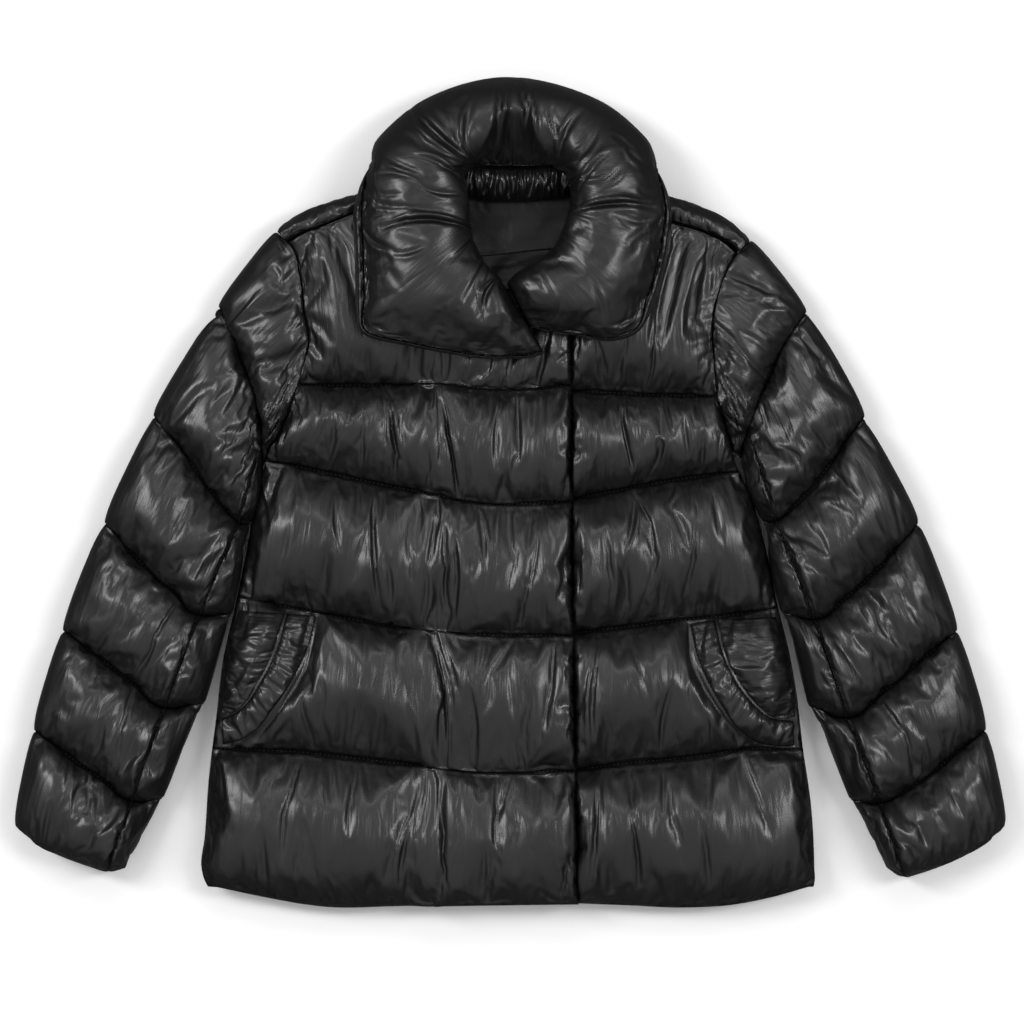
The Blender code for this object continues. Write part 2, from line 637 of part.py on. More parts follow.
def make_sleeve(side, part, lines, material):
    """Top sleeve or under sleeve: a padded wall turned round one edge of the flat tube."""
    name = f"sleeve_{part}_{side}"
    above, beneath = (TOP_ACROSS, TOP_BENEATH) if part == "top" else (UNDER_ACROSS, UNDER_BENEATH)
    edge = 0.0 if part == "top" else 1.0
    turn = TURN_IN if part == "top" else 1 - TURN_IN
    channels = len(lines)
    places = [(c, t) for c in range(channels) for t in SLEEVE_ROWS] + [(channels - 1, 1.0)]
    cloth = Cloth(name, material)
    from_seam = SEAM_SHARE_GAP if part == "under" else -SEAM_SHARE_GAP
    stops = [(s, True) for s in above] + [(s, False) for s in beneath]
    stops[0] = (stops[0][0] + from_seam, True)
    stops[-1] = (stops[-1][0] + from_seam, False)
    grid = []
    for channel, along in places:
        width = np.linalg.norm(
            sleeve_plan(lines, side, channel, along, 1.0) - sleeve_plan(lines, side, channel, along, 0.0))
        row = []
        for share, is_above in stops:
            x, y = sleeve_plan(lines, side, channel, along, share)
            distance = min(share, 1 - share) * width
            pair = sleeve_heights(channel, along, distance)
            row.append(cloth.point(x, y, pair[0] if is_above else pair[1]))
        grid.append(row)
    cloth.skin(grid)

    turns = [i for i, (_, t) in enumerate(places) if t == 0.0] + [len(places) - 1]
    turn_points = {}
    for i in turns:
        x, y = sleeve_plan(lines, side, *places[i], turn)
        turn_points[i] = (cloth.point(x, y, SLEEVE_INSIDE), cloth.point(x, y, SLEEVE_FLOOR_INSIDE))

    def inner(row, col):
        share, is_above = stops[col]
        if abs(share - edge) <= TURN_IN:
            return turn_points[row][0 if is_above else 1]
        x, y, _ = grid[row][col].co / MM
        return cloth.point(x, y, SLEEVE_INSIDE if is_above else SLEEVE_FLOOR_INSIDE)

    last_row, last_col = len(grid) - 1, len(stops) - 1
    ends = {row: [inner(row, col) for col in range(last_col + 1)] for row in (0, last_row)}
    for row in (0, last_row):
        for col in range(last_col):
            cloth.face(grid[row][col], grid[row][col + 1], ends[row][col + 1], ends[row][col])
    seams = {}
    for col in (0, last_col):
        seam = [ends[0][col]] + [inner(row, col) for row in range(1, last_row)] + [ends[last_row][col]]
        seams[col] = seam
        for row in range(last_row):
            cloth.face(grid[row][col], grid[row + 1][col], seam[row + 1], seam[row])
    for col, level in ((0, 0), (last_col, 1)):
        span = [c for c in range(last_col + 1) if stops[c][1] == (level == 0)]
        span = span if level == 0 else span[::-1]
        loop = list(seams[col])
        loop += [ends[last_row][c] for c in span[1:]]
        loop += [turn_points[i][level] for i in reversed(turns)]
        loop += [ends[0][c] for c in reversed(span[1:])]
        unique = [v for i, v in enumerate(loop) if v is not loop[i - 1]]
        cloth.face(*unique)
    for a, b in zip(turns[:-1], turns[1:]):
        cloth.face(turn_points[a][0], turn_points[b][0], turn_points[b][1], turn_points[a][1])
    return cloth.finish()


# --------------------------------------------------------------------------- pockets


def surface_finder(piece):
    """A function that gives the height of a piece's upper side at a place."""
    mesh = bmesh.new()
    mesh.from_mesh(piece.data)
    tree = BVHTree.FromBMesh(mesh)
    mesh.free()

    def height(x, y):
        hit = tree.ray_cast(Vector((x * MM, y * MM, HIGH_ABOVE)), Vector((0, 0, -1)))
        return hit[0].z / MM if hit[0] is not None else SIDE_SEAM

    def highest(x, y, reach):
        steps = (-reach, -reach / 2, 0.0, reach / 2, reach)
        return max(height(x + a, y + b) for a in steps for b in steps)

    return highest


def curve_points(curve, count):
    points = np.array(curve, dtype=float)
    length = np.concatenate([[0], np.cumsum(np.linalg.norm(np.diff(points, axis=0), axis=1))])
    table = np.column_stack([length / length[-1], points])
    return [smooth(table, t) for t in np.linspace(0, 1, count)]


def lay_on(name, front, rows, padding, wall, material, lift=0.0):
    """A padded strip on a front: its underside follows the front, its face swells between its edges."""
    highest = surface_finder(front)
    cloth = Cloth(name, material)
    upper, lower = [], []
    for row in rows:
        count = len(row) - 1
        over, below = [], []
        for i, (x, y) in enumerate(row):
            base = highest(x, y, POCKET_FOOTPRINT) + SEAM_GAP + lift
            below.append(cloth.point(x, y, base))
            over.append(cloth.point(x, y, base + wall + padding * puff(i / count)))
        upper.append(over)
        lower.append(below)
    cloth.skin(upper)
    cloth.skin(lower)
    for i in (0, -1):
        cloth.skin([upper[i], lower[i]])
        cloth.skin([[row[i] for row in upper], [row[i] for row in lower]])
    return cloth.finish()


def make_pocket(side, front, material):
    inner_curve, side_curve = POCKETS[side]
    inward = curve_points(inner_curve, BAND_STATIONS)
    sideward = curve_points(side_curve, BAND_STATIONS)
    band = [[a + (b - a) * s for s in BAND_SHARES] for a, b in zip(inward, sideward)]
    lay_on(f"pocket_band_{side}", front, band, BAND_PADDING, BAND_CLOTH, material)
    table = RIGHT_SIDE if side == "right" else LEFT_SIDE
    sign = -1 if side == "right" else 1
    corner = []
    for x, y in curve_points(side_curve, POCKET_BACK_STATIONS)[:-1]:
        start = np.array((x + sign * POCKET_BACK_START[0], y + POCKET_BACK_START[1]))
        reach = np.array((smooth(table, y) - sign * POCKET_BACK_END[0], y + POCKET_BACK_END[1]))
        corner.append([start + (reach - start) * s for s in POCKET_BACK_SHARES])
    lay_on(f"pocket_back_{side}", front, corner, POCKET_BACK_PADDING, POCKET_BACK_THICKNESS,
           material, POCKET_BACK_LIFT)


# ---------------------------------------------------------------------------- collar


def collar_stations():
    """Every station round the collar, evenly spread between the rows of the two tables."""
    rows = list(COLLAR_RIGHT) + list(reversed(COLLAR_LEFT))
    table = [(i, *row) for i, row in enumerate(rows)]
    count = (len(rows) - 1) * STATIONS_BETWEEN + 1
    return [Station(*smooth(table, i / STATIONS_BETWEEN)) for i in range(count)]


def collar_section(station, section):
    """One section of the collar, between the three that the table gives."""
    found = []
    for row in section:
        share = np.interp(station.on_floor, (0.0, 0.5, 1.0), row[0::2])
        z = np.interp(station.on_floor, (0.0, 0.5, 1.0), row[1::2])
        if z > COLLAR_MIDDLE:
            z = COLLAR_MIDDLE + (z - COLLAR_MIDDLE) * station.height
        found.append((share, z))
    return found


def make_collar(top_material, under_material):
    """The padded collar: an upper side that rolls over, and an under side beneath it."""
    stations = collar_stations()
    upper = Cloth("collar_top", top_material)
    lower = Cloth("collar_under", under_material)
    upper_loops, lower_loops = [], []
    outer = np.array([(s.outer_x, s.outer_y) for s in stations])
    run = np.concatenate([[0], np.cumsum(np.linalg.norm(np.diff(outer, axis=0), axis=1))])
    for index, station in enumerate(stations):
        inner_xy, outer_xy = np.array(station[0:2]), np.array(station[2:4])
        from_end = min(run[index], run[-1] - run[index])
        swell = END_SWELL + (1 - END_SWELL) * rounded(from_end, END_ROUNDING)
        crease = sum(deep * np.exp(-((outer_xy[0] - x) ** 2 + (outer_xy[1] - y) ** 2) / wide ** 2)
                     for x, y, wide, deep in COLLAR_CREASES)
        gather = GATHER_DEPTH * (1 if index % 2 else -1)
        centre = np.exp(-((inner_xy[0] - CENTRE_X) / CENTRE_REACH) ** 2) * station.on_floor
        loop = []
        for place, (share, z) in enumerate(collar_section(station, UPPER_FACE)):
            across = np.sin(np.pi * min(place / FACE_SPAN, 1)) ** FACE_ROUNDNESS
            if 1 <= place < FACE_SPAN:
                z -= crease * across
                recess = CENTRE_RECESS * centre * max(0.0, 1 - share / CENTRE_SHARE) * across
                z -= recess if place > 1 else 0.0
                z += gather * max(0.0, 1 - abs(place - GATHER_PLACE) / GATHER_PLACE)
                if z > END_BASE and station.on_floor < END_ON_FRONTS:
                    z = END_BASE + (z - END_BASE) * swell
            x, y = inner_xy + (outer_xy - inner_xy) * share
            loop.append(upper.point(x, y, z))
        for share, z in collar_section(station, UPPER_INSIDE):
            x, y = inner_xy + (outer_xy - inner_xy) * share
            loop.append(upper.point(x, y, z))
        upper_loops.append(loop)
        loop = []
        for share, z in collar_section(station, LOWER_SECTION):
            x, y = inner_xy + (outer_xy - inner_xy) * share
            loop.append(lower.point(x, y, z))
        lower_loops.append(loop)
    for cloth, loops in ((upper, upper_loops), (lower, lower_loops)):
        cloth.skin(loops, closed=True)
        cloth.face(*loops[0])
        cloth.face(*loops[-1])
        cloth.finish()


# ------------------------------------------------------------------- inside the neck


def make_neck_band(material):
    """The gathered band at the back neck, leaning up towards the collar."""
    cloth = Cloth("neck_band", material)
    low, high = np.array(NECK_BAND_LOW), np.array(NECK_BAND_HIGH)
    start, stop = NECK_BAND_X
    faces = {True: [], False: []}
    for i in range(BAND_GATHERS * 4 + 1):
        share = i / (BAND_GATHERS * 4)
        x = start + (stop - start) * share
        wave = BAND_GATHER_DEPTH * np.cos(2 * np.pi * BAND_GATHERS * share)
        bow = NECK_BAND_BOW * (2 * share - 1) ** 2
        for is_face in (True, False):
            line = []
            for t in (0.0, 0.5, 1.0):
                y, z = low + (high - low) * t
                arch = np.sin(np.pi * t)
                z += wave * (BAND_EDGE_GATHER + (1 - BAND_EDGE_GATHER) * arch) + NECK_BAND_ARCH * arch
                line.append(cloth.point(x, y - bow * (1 - t), z - (0.0 if is_face else BAND_WALL)))
            faces[is_face].append(line)
    cloth.skin(faces[True])
    cloth.skin(faces[False])
    for i in (0, -1):
        cloth.skin([faces[True][i], faces[False][i]])
        cloth.skin([[row[i] for row in faces[True]], [row[i] for row in faces[False]]])
    return cloth.finish()


def make_flat_cloth(name, outline, low, wall, material):
    """A flat piece of cloth from its outline."""
    cloth = Cloth(name, material)
    loops = [[cloth.point(x, y, z) for x, y in outline] for z in (low, low + wall)]
    cloth.skin(loops, closed=True)
    cloth.face(*loops[0])
    cloth.face(*loops[1])
    return cloth.finish()


clear_scene()
shell = cloth_material("black downproof nylon", (0.012, 0.012, 0.013), 0.32)
lining = cloth_material("black lining taffeta", (0.009, 0.009, 0.010), 0.42)

back = make_back(shell)
for shoulder_name, front_name in (("shoulder_right", "front_right"), ("shoulder_left", "front_left")):
    join = back.modifiers.new(shoulder_name, "BOOLEAN")
    join.operation = "UNION"
    join.object = shoulder_piece(shoulder_name, front_name)
for front_name, pocket_side in (("front_right", "right"), ("front_left", "left")):
    front_piece = make_front(front_name, shell)
    make_pocket(pocket_side, front_piece, shell)
for sleeve_side, sleeve_lines in (("right", RIGHT_SLEEVE), ("left", LEFT_SLEEVE)):
    for sleeve_part in ("top", "under"):
        make_sleeve(sleeve_side, sleeve_part, sleeve_lines, shell)
make_collar(shell, shell)
make_neck_band(lining)
make_flat_cloth("neck_facing", NECK_FACING, FRONT_INSIDE, CLOTH_WALL, lining)
make_flat_cloth("neck_lining", NECK_LINING, FRONT_INSIDE, CLOTH_WALL, lining)
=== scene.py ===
"""Women's quilted puffer jacket in glossy black nylon, laid flat on its back.

Tables are in millimetres; x points to the wearer's left, y to the collar, z up.
"""

import bmesh
import bpy
import numpy as np
from mathutils import Matrix, Vector
from mathutils.bvhtree import BVHTree
from mathutils.kdtree import KDTree


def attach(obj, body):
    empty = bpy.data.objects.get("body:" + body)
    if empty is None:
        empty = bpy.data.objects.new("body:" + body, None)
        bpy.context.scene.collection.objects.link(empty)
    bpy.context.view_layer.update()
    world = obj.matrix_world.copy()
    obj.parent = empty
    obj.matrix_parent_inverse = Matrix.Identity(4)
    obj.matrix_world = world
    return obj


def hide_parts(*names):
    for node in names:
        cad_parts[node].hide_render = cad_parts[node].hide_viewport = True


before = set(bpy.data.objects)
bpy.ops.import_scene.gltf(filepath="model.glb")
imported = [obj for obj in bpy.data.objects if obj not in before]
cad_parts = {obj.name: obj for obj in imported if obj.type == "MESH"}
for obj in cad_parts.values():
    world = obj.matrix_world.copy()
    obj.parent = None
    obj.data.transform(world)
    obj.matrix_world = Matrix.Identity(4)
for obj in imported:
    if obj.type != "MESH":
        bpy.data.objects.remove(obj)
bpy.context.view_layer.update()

# ------------------------------------------------------------------ back and shoulders
# One wide panel of nylon over down, quilted straight across in five channels.  It lies on the
# surface, so its outer side is pressed flat between the grooves of the stitching.  Over each
# shoulder it comes forward as a small padded yoke.

MM = 0.001
BACK_INSIDE = 29.7
GROOVE = 7.0
SHALLOW_GROOVE = 12.0
RIM_RADIUS = 24.0
EDGE_COVER = 1.5
SEAM_GAP = 0.3
BACK_WIDTH = 450.0
BACK_CHANNEL = 135.0
BACK_POINT = 4.4
PRESS_DEPTH = 1.2
# Down between two stitch lines: how full it is, how much fuller its cloth is cut, its profile.
SLACK = 0.62
FULLNESS = 0.05
PUFF_POWER = 3.0
PUFF_FULLNESS = 0.55
# How far puckering reaches from a stitch line, and how freely the cloth there can move aside.
STITCH_REACH = 3.6
SIDEWAYS = 0.5
# A pad of fewer points than this is subdivided once.
FINE_ENOUGH = 12000

OUTWARD = {"right": -1, "left": 1}
# The side seam and, above the armpit, the armhole.  Columns: y, x.
SIDES = {
    "right": (
        (-396, -270), (-385, -286), (-374, -294), (-360, -298), (-331, -295), (-274, -291),
        (-216, -284), (-158, -277), (-101, -264), (-62, -256), (-24, -249), (24, -238), (43, -232),
        (62, -221), (86, -211), (106, -204), (120, -200), (144, -194), (178, -198), (211, -202),
        (243, -213), (253, -224),
    ),
    "left": (
        (-398, 270), (-386, 289), (-374, 294), (-360, 294), (-331, 293), (-302, 291), (-245, 283),
        (-187, 276), (-158, 271), (-101, 257), (-47, 246), (5, 230), (25, 220), (59, 209), (77, 204),
        (94, 199), (114, 197), (139, 195), (173, 196), (192, 200), (214, 208), (232, 218), (245, 231),
    ),
}
# Stitch lines of the back, hem first.  Columns: y at the right side, middle and left side.
BACK_LINES = ((-378, -396, -378), (-244, -252, -245), (-97, -108, -108), (34, 22, 23), (106, 100, 95))
# Silhouette of the shoulders and the back neck edge.  Columns: x, y.
BACK_TOP_EDGE = (
    (-218, 259), (-207, 266), (-187, 276), (-163, 285), (-135, 293), (-106, 299), (-77, 301),
    (-58, 297), (-30, 291), (0, 289), (30, 291), (58, 297), (79, 301), (106, 299), (135, 293),
    (163, 285), (187, 276), (206, 266), (220, 257),
)


def curve(table, at):
    """Reads a table of rows (key, value, ...) along a smooth curve; the keys rise."""
    rows = np.asarray(table, dtype=float)
    keys, values = rows[:, 0], rows[:, 1:]
    slopes = np.gradient(values, keys, axis=0)
    at = np.clip(np.asarray(at, dtype=float), keys[0], keys[-1])
    i = np.clip(np.searchsorted(keys, at, side="right") - 1, 0, len(keys) - 2)
    span = (keys[i + 1] - keys[i])[..., None]
    t = (at - keys[i])[..., None] / span
    found = (
        (2 * t ** 3 - 3 * t ** 2 + 1) * values[i]
        + (t ** 3 - 2 * t ** 2 + t) * span * slopes[i]
        + (3 * t ** 2 - 2 * t ** 3) * values[i + 1]
        + (t ** 3 - t ** 2) * span * slopes[i + 1]
    )
    return found[..., 0] if values.shape[1] == 1 else found


def ease(value):
    """0 to 1 with a soft start and end."""
    value = np.clip(value, 0.0, 1.0)
    return value * value * (3 - 2 * value)


def rounded(distance, radius):
    """Rise of a rounded edge: 0 on the edge, 1 from one radius in."""
    return np.sqrt(1 - (1 - np.clip(distance / radius, 0.0, 1.0)) ** 2)


def puff(share):
    """Swell of a channel of down between two stitch lines."""
    return np.clip(1 - np.abs(2 * share - 1) ** PUFF_POWER, 0.0, 1.0) ** PUFF_FULLNESS


def channel_stops(count):
    """Where a channel's rows of points lie, closer together beside the stitching."""
    even = np.linspace(0.0, 1.0, count, endpoint=False)
    return 0.6 * even + 0.4 * (0.5 - 0.5 * np.cos(np.pi * even))


def ripples(shape, runs, seed):
    """Smooth random swell of unit strength; runs are its lengths along both ways, in points."""
    field = np.random.default_rng(seed).normal(size=shape)
    for axis, run in enumerate(runs):
        window = np.hanning(run + 2)[1:-1]
        field = np.apply_along_axis(lambda line: np.convolve(line, window, "same"), axis, field)
    return field / field.std()


def running(steps):
    """How far along its run each point lies, from the steps between them."""
    return np.concatenate([[0.0], np.cumsum(steps)])


def linear(colour):
    """An sRGB hex colour as linear RGBA."""
    parts = [int(colour[i:i + 2], 16) / 255 for i in (1, 3, 5)]
    return (*[p / 12.92 if p <= 0.04045 else ((p + 0.055) / 1.055) ** 2.4 for p in parts], 1.0)


def new_material(name, settings):
    """A material whose shader has these inputs set, with its node tree and shader."""
    material = bpy.data.materials.new(name)
    material.use_nodes = True
    shader = material.node_tree.nodes["Principled BSDF"]
    for socket, value in settings.items():
        shader.inputs[socket].default_value = value
    return material, material.node_tree, shader


def add_node(tree, kind, settings, links=()):
    """Adds a node, sets its properties or inputs by name and links its inputs."""
    node = tree.nodes.new(kind)
    for name, value in settings.items():
        if name in node.inputs:
            node.inputs[name].default_value = value
        else:
            setattr(node, name, value)
    for name, socket in dict(links).items():
        tree.links.new(socket, node.inputs[name])
    return node


def glossy_nylon(name, colour, roughness, gloss=0.45, drawn_out=1.3):
    """Downproof nylon taffeta, calendered: a tight plain weave pressed until it shines.

    It gives soft broad reflections, drawn out by streaks where the cloth hangs from its stitching
    and broken by a few sharp creases and the grain of the weave.  drawn_out is the streaks' depth.
    """
    material, tree, shader = new_material(name, {
        "IOR": 1.5, "Specular IOR Level": gloss, "Coat Weight": 0.16 * gloss, "Coat Roughness": 0.16})
    along = add_node(tree, "ShaderNodeAttribute", {"attribute_name": "cloth"}).outputs["Vector"]
    # Streaks 10 mm apart and 60 mm long; creases 30 mm apart and 70 mm long.
    stretched = add_node(tree, "ShaderNodeMapping", {"Scale": (1 / (10 * MM), 1 / (60 * MM), 1.0)},
                         {"Vector": along})
    streak = add_node(tree, "ShaderNodeTexNoise", {"Scale": 1.0, "Detail": 4.5, "Distortion": 0.6},
                      {"Vector": stretched.outputs["Vector"]})
    drawn = add_node(tree, "ShaderNodeMapping", {"Scale": (1 / (30 * MM), 1 / (70 * MM), 1.0)},
                     {"Vector": along})
    crease = add_node(tree, "ShaderNodeTexNoise",
                      {"noise_type": "RIDGED_MULTIFRACTAL", "Scale": 1.0, "Detail": 2.0,
                       "Roughness": 0.4, "Distortion": 0.8, "normalize": True},
                      {"Vector": drawn.outputs["Vector"]})
    # The weave of 0.1 mm threads is drawn at 1.1 mm, the finest that shows.
    place = add_node(tree, "ShaderNodeTexCoord", {}).outputs["Object"]
    grain = add_node(tree, "ShaderNodeTexNoise", {"Scale": 1 / (1.1 * MM), "Detail": 2.0}, {"Vector": place})
    spread = add_node(tree, "ShaderNodeMapRange",
                      {"From Min": 0.3, "From Max": 0.7, "To Min": roughness - 0.04,
                       "To Max": roughness + 0.05}, {"Value": streak.outputs["Fac"]})
    tree.links.new(spread.outputs["Result"], shader.inputs["Roughness"])
    # Beside its stitching the cloth is doubled and drawn in; painted shade darkens its colour there towards
    # near black, for the grooves of the stitching.
    painted_seam_shade = add_node(tree, "ShaderNodeSeparateXYZ", {}, {"Vector": along}).outputs["Z"]
    shade = add_node(tree, "ShaderNodeMix", {"data_type": "RGBA"})
    tree.links.new(painted_seam_shade, shade.inputs[0])
    shade.inputs[6].default_value = linear(colour)
    shade.inputs[7].default_value = linear("#030303")
    tree.links.new(shade.outputs[2], shader.inputs["Base Color"])
    normal = None
    bumps = ((grain, 0.10, 0.4), (streak, drawn_out, 1.0), (crease, 0.6 * drawn_out, 0.7))
    for height, depth, strength in bumps:
        links = {"Height": height.outputs["Fac"]}
        if normal:
            links["Normal"] = normal
        bump = add_node(tree, "ShaderNodeBump", {"Strength": strength, "Distance": depth * MM}, links)
        normal = bump.outputs["Normal"]
    tree.links.new(normal, shader.inputs["Normal"])
    return material


def cloth_run(points, axis):
    """Mean distance run along one axis of a grid of points."""
    return running(np.linalg.norm(np.diff(points, axis=axis), axis=-1).mean(axis=1 - axis))


def new_piece(name, shape, *finishes):
    """Makes a smooth-shaded object of the scene from a bmesh."""
    mesh = bpy.data.meshes.new(name)
    shape.to_mesh(mesh)
    shape.free()
    for finish in finishes:
        mesh.materials.append(finish)
    mesh.shade_smooth()
    piece = bpy.data.objects.new(name, mesh)
    bpy.context.scene.collection.objects.link(piece)
    return piece


def subdivide(piece):
    """Rounds a piece off with one live subdivision."""
    smooth = piece.modifiers.new("smooth", "SUBSURF")
    smooth.levels = 1
    smooth.render_levels = 1


def distance_to_stitching(points, sewn):
    """How far each point lies from the nearest sewn one."""
    stitching = KDTree(int(sewn.sum()))
    for i, place in enumerate(points[sewn]):
        stitching.insert(place, i)
    stitching.balance()
    return np.array([stitching.find(place)[2] for place in points.reshape(-1, 3)])


def fill_with_down(pad, fullness):
    """Puts light soft cloth under pressure, pinned along its stitching and cut fuller."""
    swell = pad.modifiers.new("swell", "CLOTH")
    cloth = swell.settings
    cloth.quality = 5
    cloth.mass = 0.3
    cloth.bending_stiffness = 0.1
    cloth.vertex_group_mass = "stitched"
    cloth.use_pressure = True
    cloth.uniform_pressure_force = 4.0
    cloth.effector_weights.gravity = 0.0
    cloth.shrink_min = -fullness
    swell.collision_settings.use_collision = False
    swell.collision_settings.use_self_collision = False


def make_pad(name, outer, inner, held, finishes, fullness=FULLNESS, reach=16.0, turned=False):
    """A closed wall of down: sections that run along its quilted side and back inside.

    Its stitching is pinned, and the cloth between is cut fuller than the space it has.  The
    streaks of the cloth run across the sections, or along them where it is turned.  finishes are
    the cloth's and the one, darkened with painted shade, on the narrow strip beside its stitching.
    """
    rows, cols = outer.shape[:2]
    sections = np.concatenate([outer, inner, outer[:, :1]], axis=1)
    width = sections.shape[1]
    pinned = np.ones((rows, width))
    pinned[:, :cols] = held
    across, down = np.meshgrid(cloth_run(sections, 1) * MM, cloth_run(sections, 0) * MM)
    sewn = np.zeros((rows, width), bool)
    sewn[:, [0, cols - 1]] = True
    if not held.all():
        sewn[:, :cols] = held
    away = distance_to_stitching(sections, sewn)
    # How near each point lies to the stitching: the weight of the painted shade that darkens the nylon in
    # the stitching's grooves.
    seam_shade_weight = np.exp(-(away / STITCH_REACH) ** 2)
    shape = bmesh.new()
    weights = shape.verts.layers.deform.verify()
    weave = shape.verts.layers.float_vector.new("cloth")
    leeway = shape.verts.layers.float.new("leeway")
    grid = bmesh.ops.create_grid(shape, x_segments=width - 1, y_segments=rows - 1, size=0.5)
    if turned:
        across, down = down, across
    # The attribute carries the cloth's run, for its streaks and creases, and third the weight of the painted
    # shade.
    cloth_run_and_seam_shade = np.column_stack([across.ravel(), down.ravel(), seam_shade_weight])
    for i, (vert, place) in enumerate(zip(grid["verts"], sections.reshape(-1, 3) * MM)):
        vert.co = place
        vert[weights][0] = pinned.flat[i]
        vert[weave] = cloth_run_and_seam_shade[i]
        vert[leeway] = SIDEWAYS * away[i] * MM
    crease = shape.edges.layers.float.new("crease_edge")
    quilted = [grid["verts"][row * width:row * width + cols] for row in range(1, rows - 1)
               if held[row].all() and not held.all()]
    for line in quilted:
        for ends in zip(line, line[1:]):
            edge = shape.edges.get(ends)
            edge[crease] = 1.0
            edge.smooth = False
    # Faces beside the quilted stitch lines take the second finish: painted shade for the stitching's
    # grooves.
    beside = {vert for line in quilted for vert in line}
    for face in shape.faces:
        face.material_index = int(not beside.isdisjoint(face.verts))
    meeting = [vert for i, vert in enumerate(grid["verts"]) if i % width in (0, width - 1)]
    bmesh.ops.remove_doubles(shape, verts=meeting, dist=1e-7)
    ends = [edge for edge in shape.edges if edge.is_boundary]
    caps = bmesh.ops.holes_fill(shape, edges=ends, sides=0)["faces"]
    bmesh.ops.triangulate(shape, faces=caps)
    bmesh.ops.recalc_face_normals(shape, faces=shape.faces)
    pad = new_piece(name, shape, *finishes)
    pad.vertex_groups.new(name="stitched")
    pad["reach"] = reach
    if not held.all():
        fill_with_down(pad, fullness)
    return pad


def settle(pads, frames=14):
    """Lets the down swell every pad against its stitching, and keeps each within reach."""
    scene = bpy.context.scene
    for number in range(1, frames + 1):
        scene.frame_set(number)
    graph = bpy.context.evaluated_depsgraph_get()
    for pad in pads:
        start = np.empty(len(pad.data.vertices) * 3, dtype=np.float32)
        swollen = start.copy()
        pad.data.vertices.foreach_get("co", start)
        pad.evaluated_get(graph).data.vertices.foreach_get("co", swollen)
        move = (swollen - start).reshape(-1, 3)
        reach = pad["reach"] * MM
        length = np.linalg.norm(move, axis=1, keepdims=True)
        move *= reach / np.maximum(reach, length)
        # Beside its stitching the cloth can't slide far sideways.
        leeway = np.empty(len(move), dtype=np.float32)
        pad.data.attributes["leeway"].data.foreach_get("value", leeway)
        pad.data.attributes.remove(pad.data.attributes["leeway"])
        aside = np.linalg.norm(move[:, :2], axis=1)
        move[:, :2] *= (leeway / np.maximum(aside, leeway + 1e-9))[:, None]
        places = start.reshape(-1, 3) + move
        places[:, 2] = np.maximum(places[:, 2], 0.0)
        pad.modifiers.clear()
        del pad["reach"]
        pad.data.vertices.foreach_set("co", places.ravel())
        pad.data.update()
        if len(pad.data.vertices) < FINE_ENOUGH:
            subdivide(pad)
    scene.frame_set(1)


def finish_pad(pad, node):
    """Hides the imported part that a pad stands for, and attaches the pad to the root body."""
    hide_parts(node)
    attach(pad, "root")


def sewn_round(shape):
    """Marks the points round the edges of a pad as sewn."""
    held = np.zeros(shape, bool)
    held[[0, -1]] = held[:, [0, -1]] = True
    return held


def back_pad():
    """Rows of points from the hem up, those of the plain inside, and which ones are sewn."""
    across = np.linspace(0.0, 1.0, int(BACK_WIDTH / BACK_POINT))
    lines = [curve(list(zip((0.0, 0.5, 1.0), row)), across) for row in BACK_LINES]
    top_x = BACK_TOP_EDGE[0][0] + across * (BACK_TOP_EDGE[-1][0] - BACK_TOP_EDGE[0][0])
    lines.append(curve(BACK_TOP_EDGE, top_x))
    depths = [BACK_INSIDE - EDGE_COVER] + [GROOVE] * 4 + [BACK_INSIDE - EDGE_COVER]
    stops = [(c, t) for c in range(5) for t in channel_stops(int(BACK_CHANNEL / BACK_POINT))]
    stops.append((4, 1.0))
    outer, held = [], []
    for channel, along in stops:
        y = lines[channel] + (lines[channel + 1] - lines[channel]) * along
        right, left = curve(SIDES["right"], y), curve(SIDES["left"], y)
        x = right + (left - right) * across
        if channel == 4:
            x += (top_x - x) * along ** 2
        groove = depths[channel] + (depths[channel + 1] - depths[channel]) * along
        groove *= 1 - (SLACK if groove < SHALLOW_GROOVE else 1.0) * puff(along)
        rim = rounded(np.minimum(x - right, left - x) + 0.01, RIM_RADIUS)
        z = BACK_INSIDE - SEAM_GAP + (groove - BACK_INSIDE + SEAM_GAP) * rim
        outer.append(np.column_stack([x, y, z]))
        held.append(np.full(len(across), along in (0.0, 1.0)))
    outer, held = np.array(outer), np.array(held)
    held[:, [0, -1]] = True
    # Creases pressed in by the surface, shallow where the cloth already touches it.
    pressed = np.minimum(outer[..., 2] * 0.5, PRESS_DEPTH) * ripples(held.shape, (9, 7), 11).clip(-2, 2)
    outer[..., 2] -= ~held * pressed * 0.5
    inner = outer[:, np.linspace(len(across) - 2, 1, 7).astype(int)].copy()
    inner[..., 2] = BACK_INSIDE
    return outer, inner, held


# A yoke's section: share of the way from its seam to the silhouette, and height.
YOKE_SECTION = ((0.0, 49.0), (0.12, 52.0), (0.3, 53.5), (0.55, 52.5), (0.82, 45.5), (0.95, 37.0),
                (1.0, 29.0), (0.99, 21.0))
YOKE_INSIDE = ((0.80, 21.0), (0.80, 31.5), (0.02, 31.5))
YOKE_ENDS = {"right": (-124.0, -222.0), "left": (122.0, 231.0)}
YOKE_EDGE = ((-224.5, 252.5), *BACK_TOP_EDGE, (231, 245.5))
YOKE_GAP = 0.4
# Forward shoulder seams.  Columns: x, y.
YOKE_SEAMS = {
    "right": ((-224, 243), (-208.5, 249), (-188, 255.5), (-150, 270.5), (-110, 281.5), (-86, 290)),
    "left": ((98, 284), (132, 273.5), (160, 261.5), (187, 253.5), (205, 245.5), (222, 238), (231, 232.5)),
}
# Gathers: how long, how much longer a few are, how they lean, how wide and how deep.
GATHER_LENGTH = (9.0, 24.0)
LONG_GATHER = 65.0
GATHER_LEAN = 0.16
GATHER_WIDTH = (1.8, 3.4)
GATHER_SHARE = (0.4, 1.4)
GATHER_START = 4.0


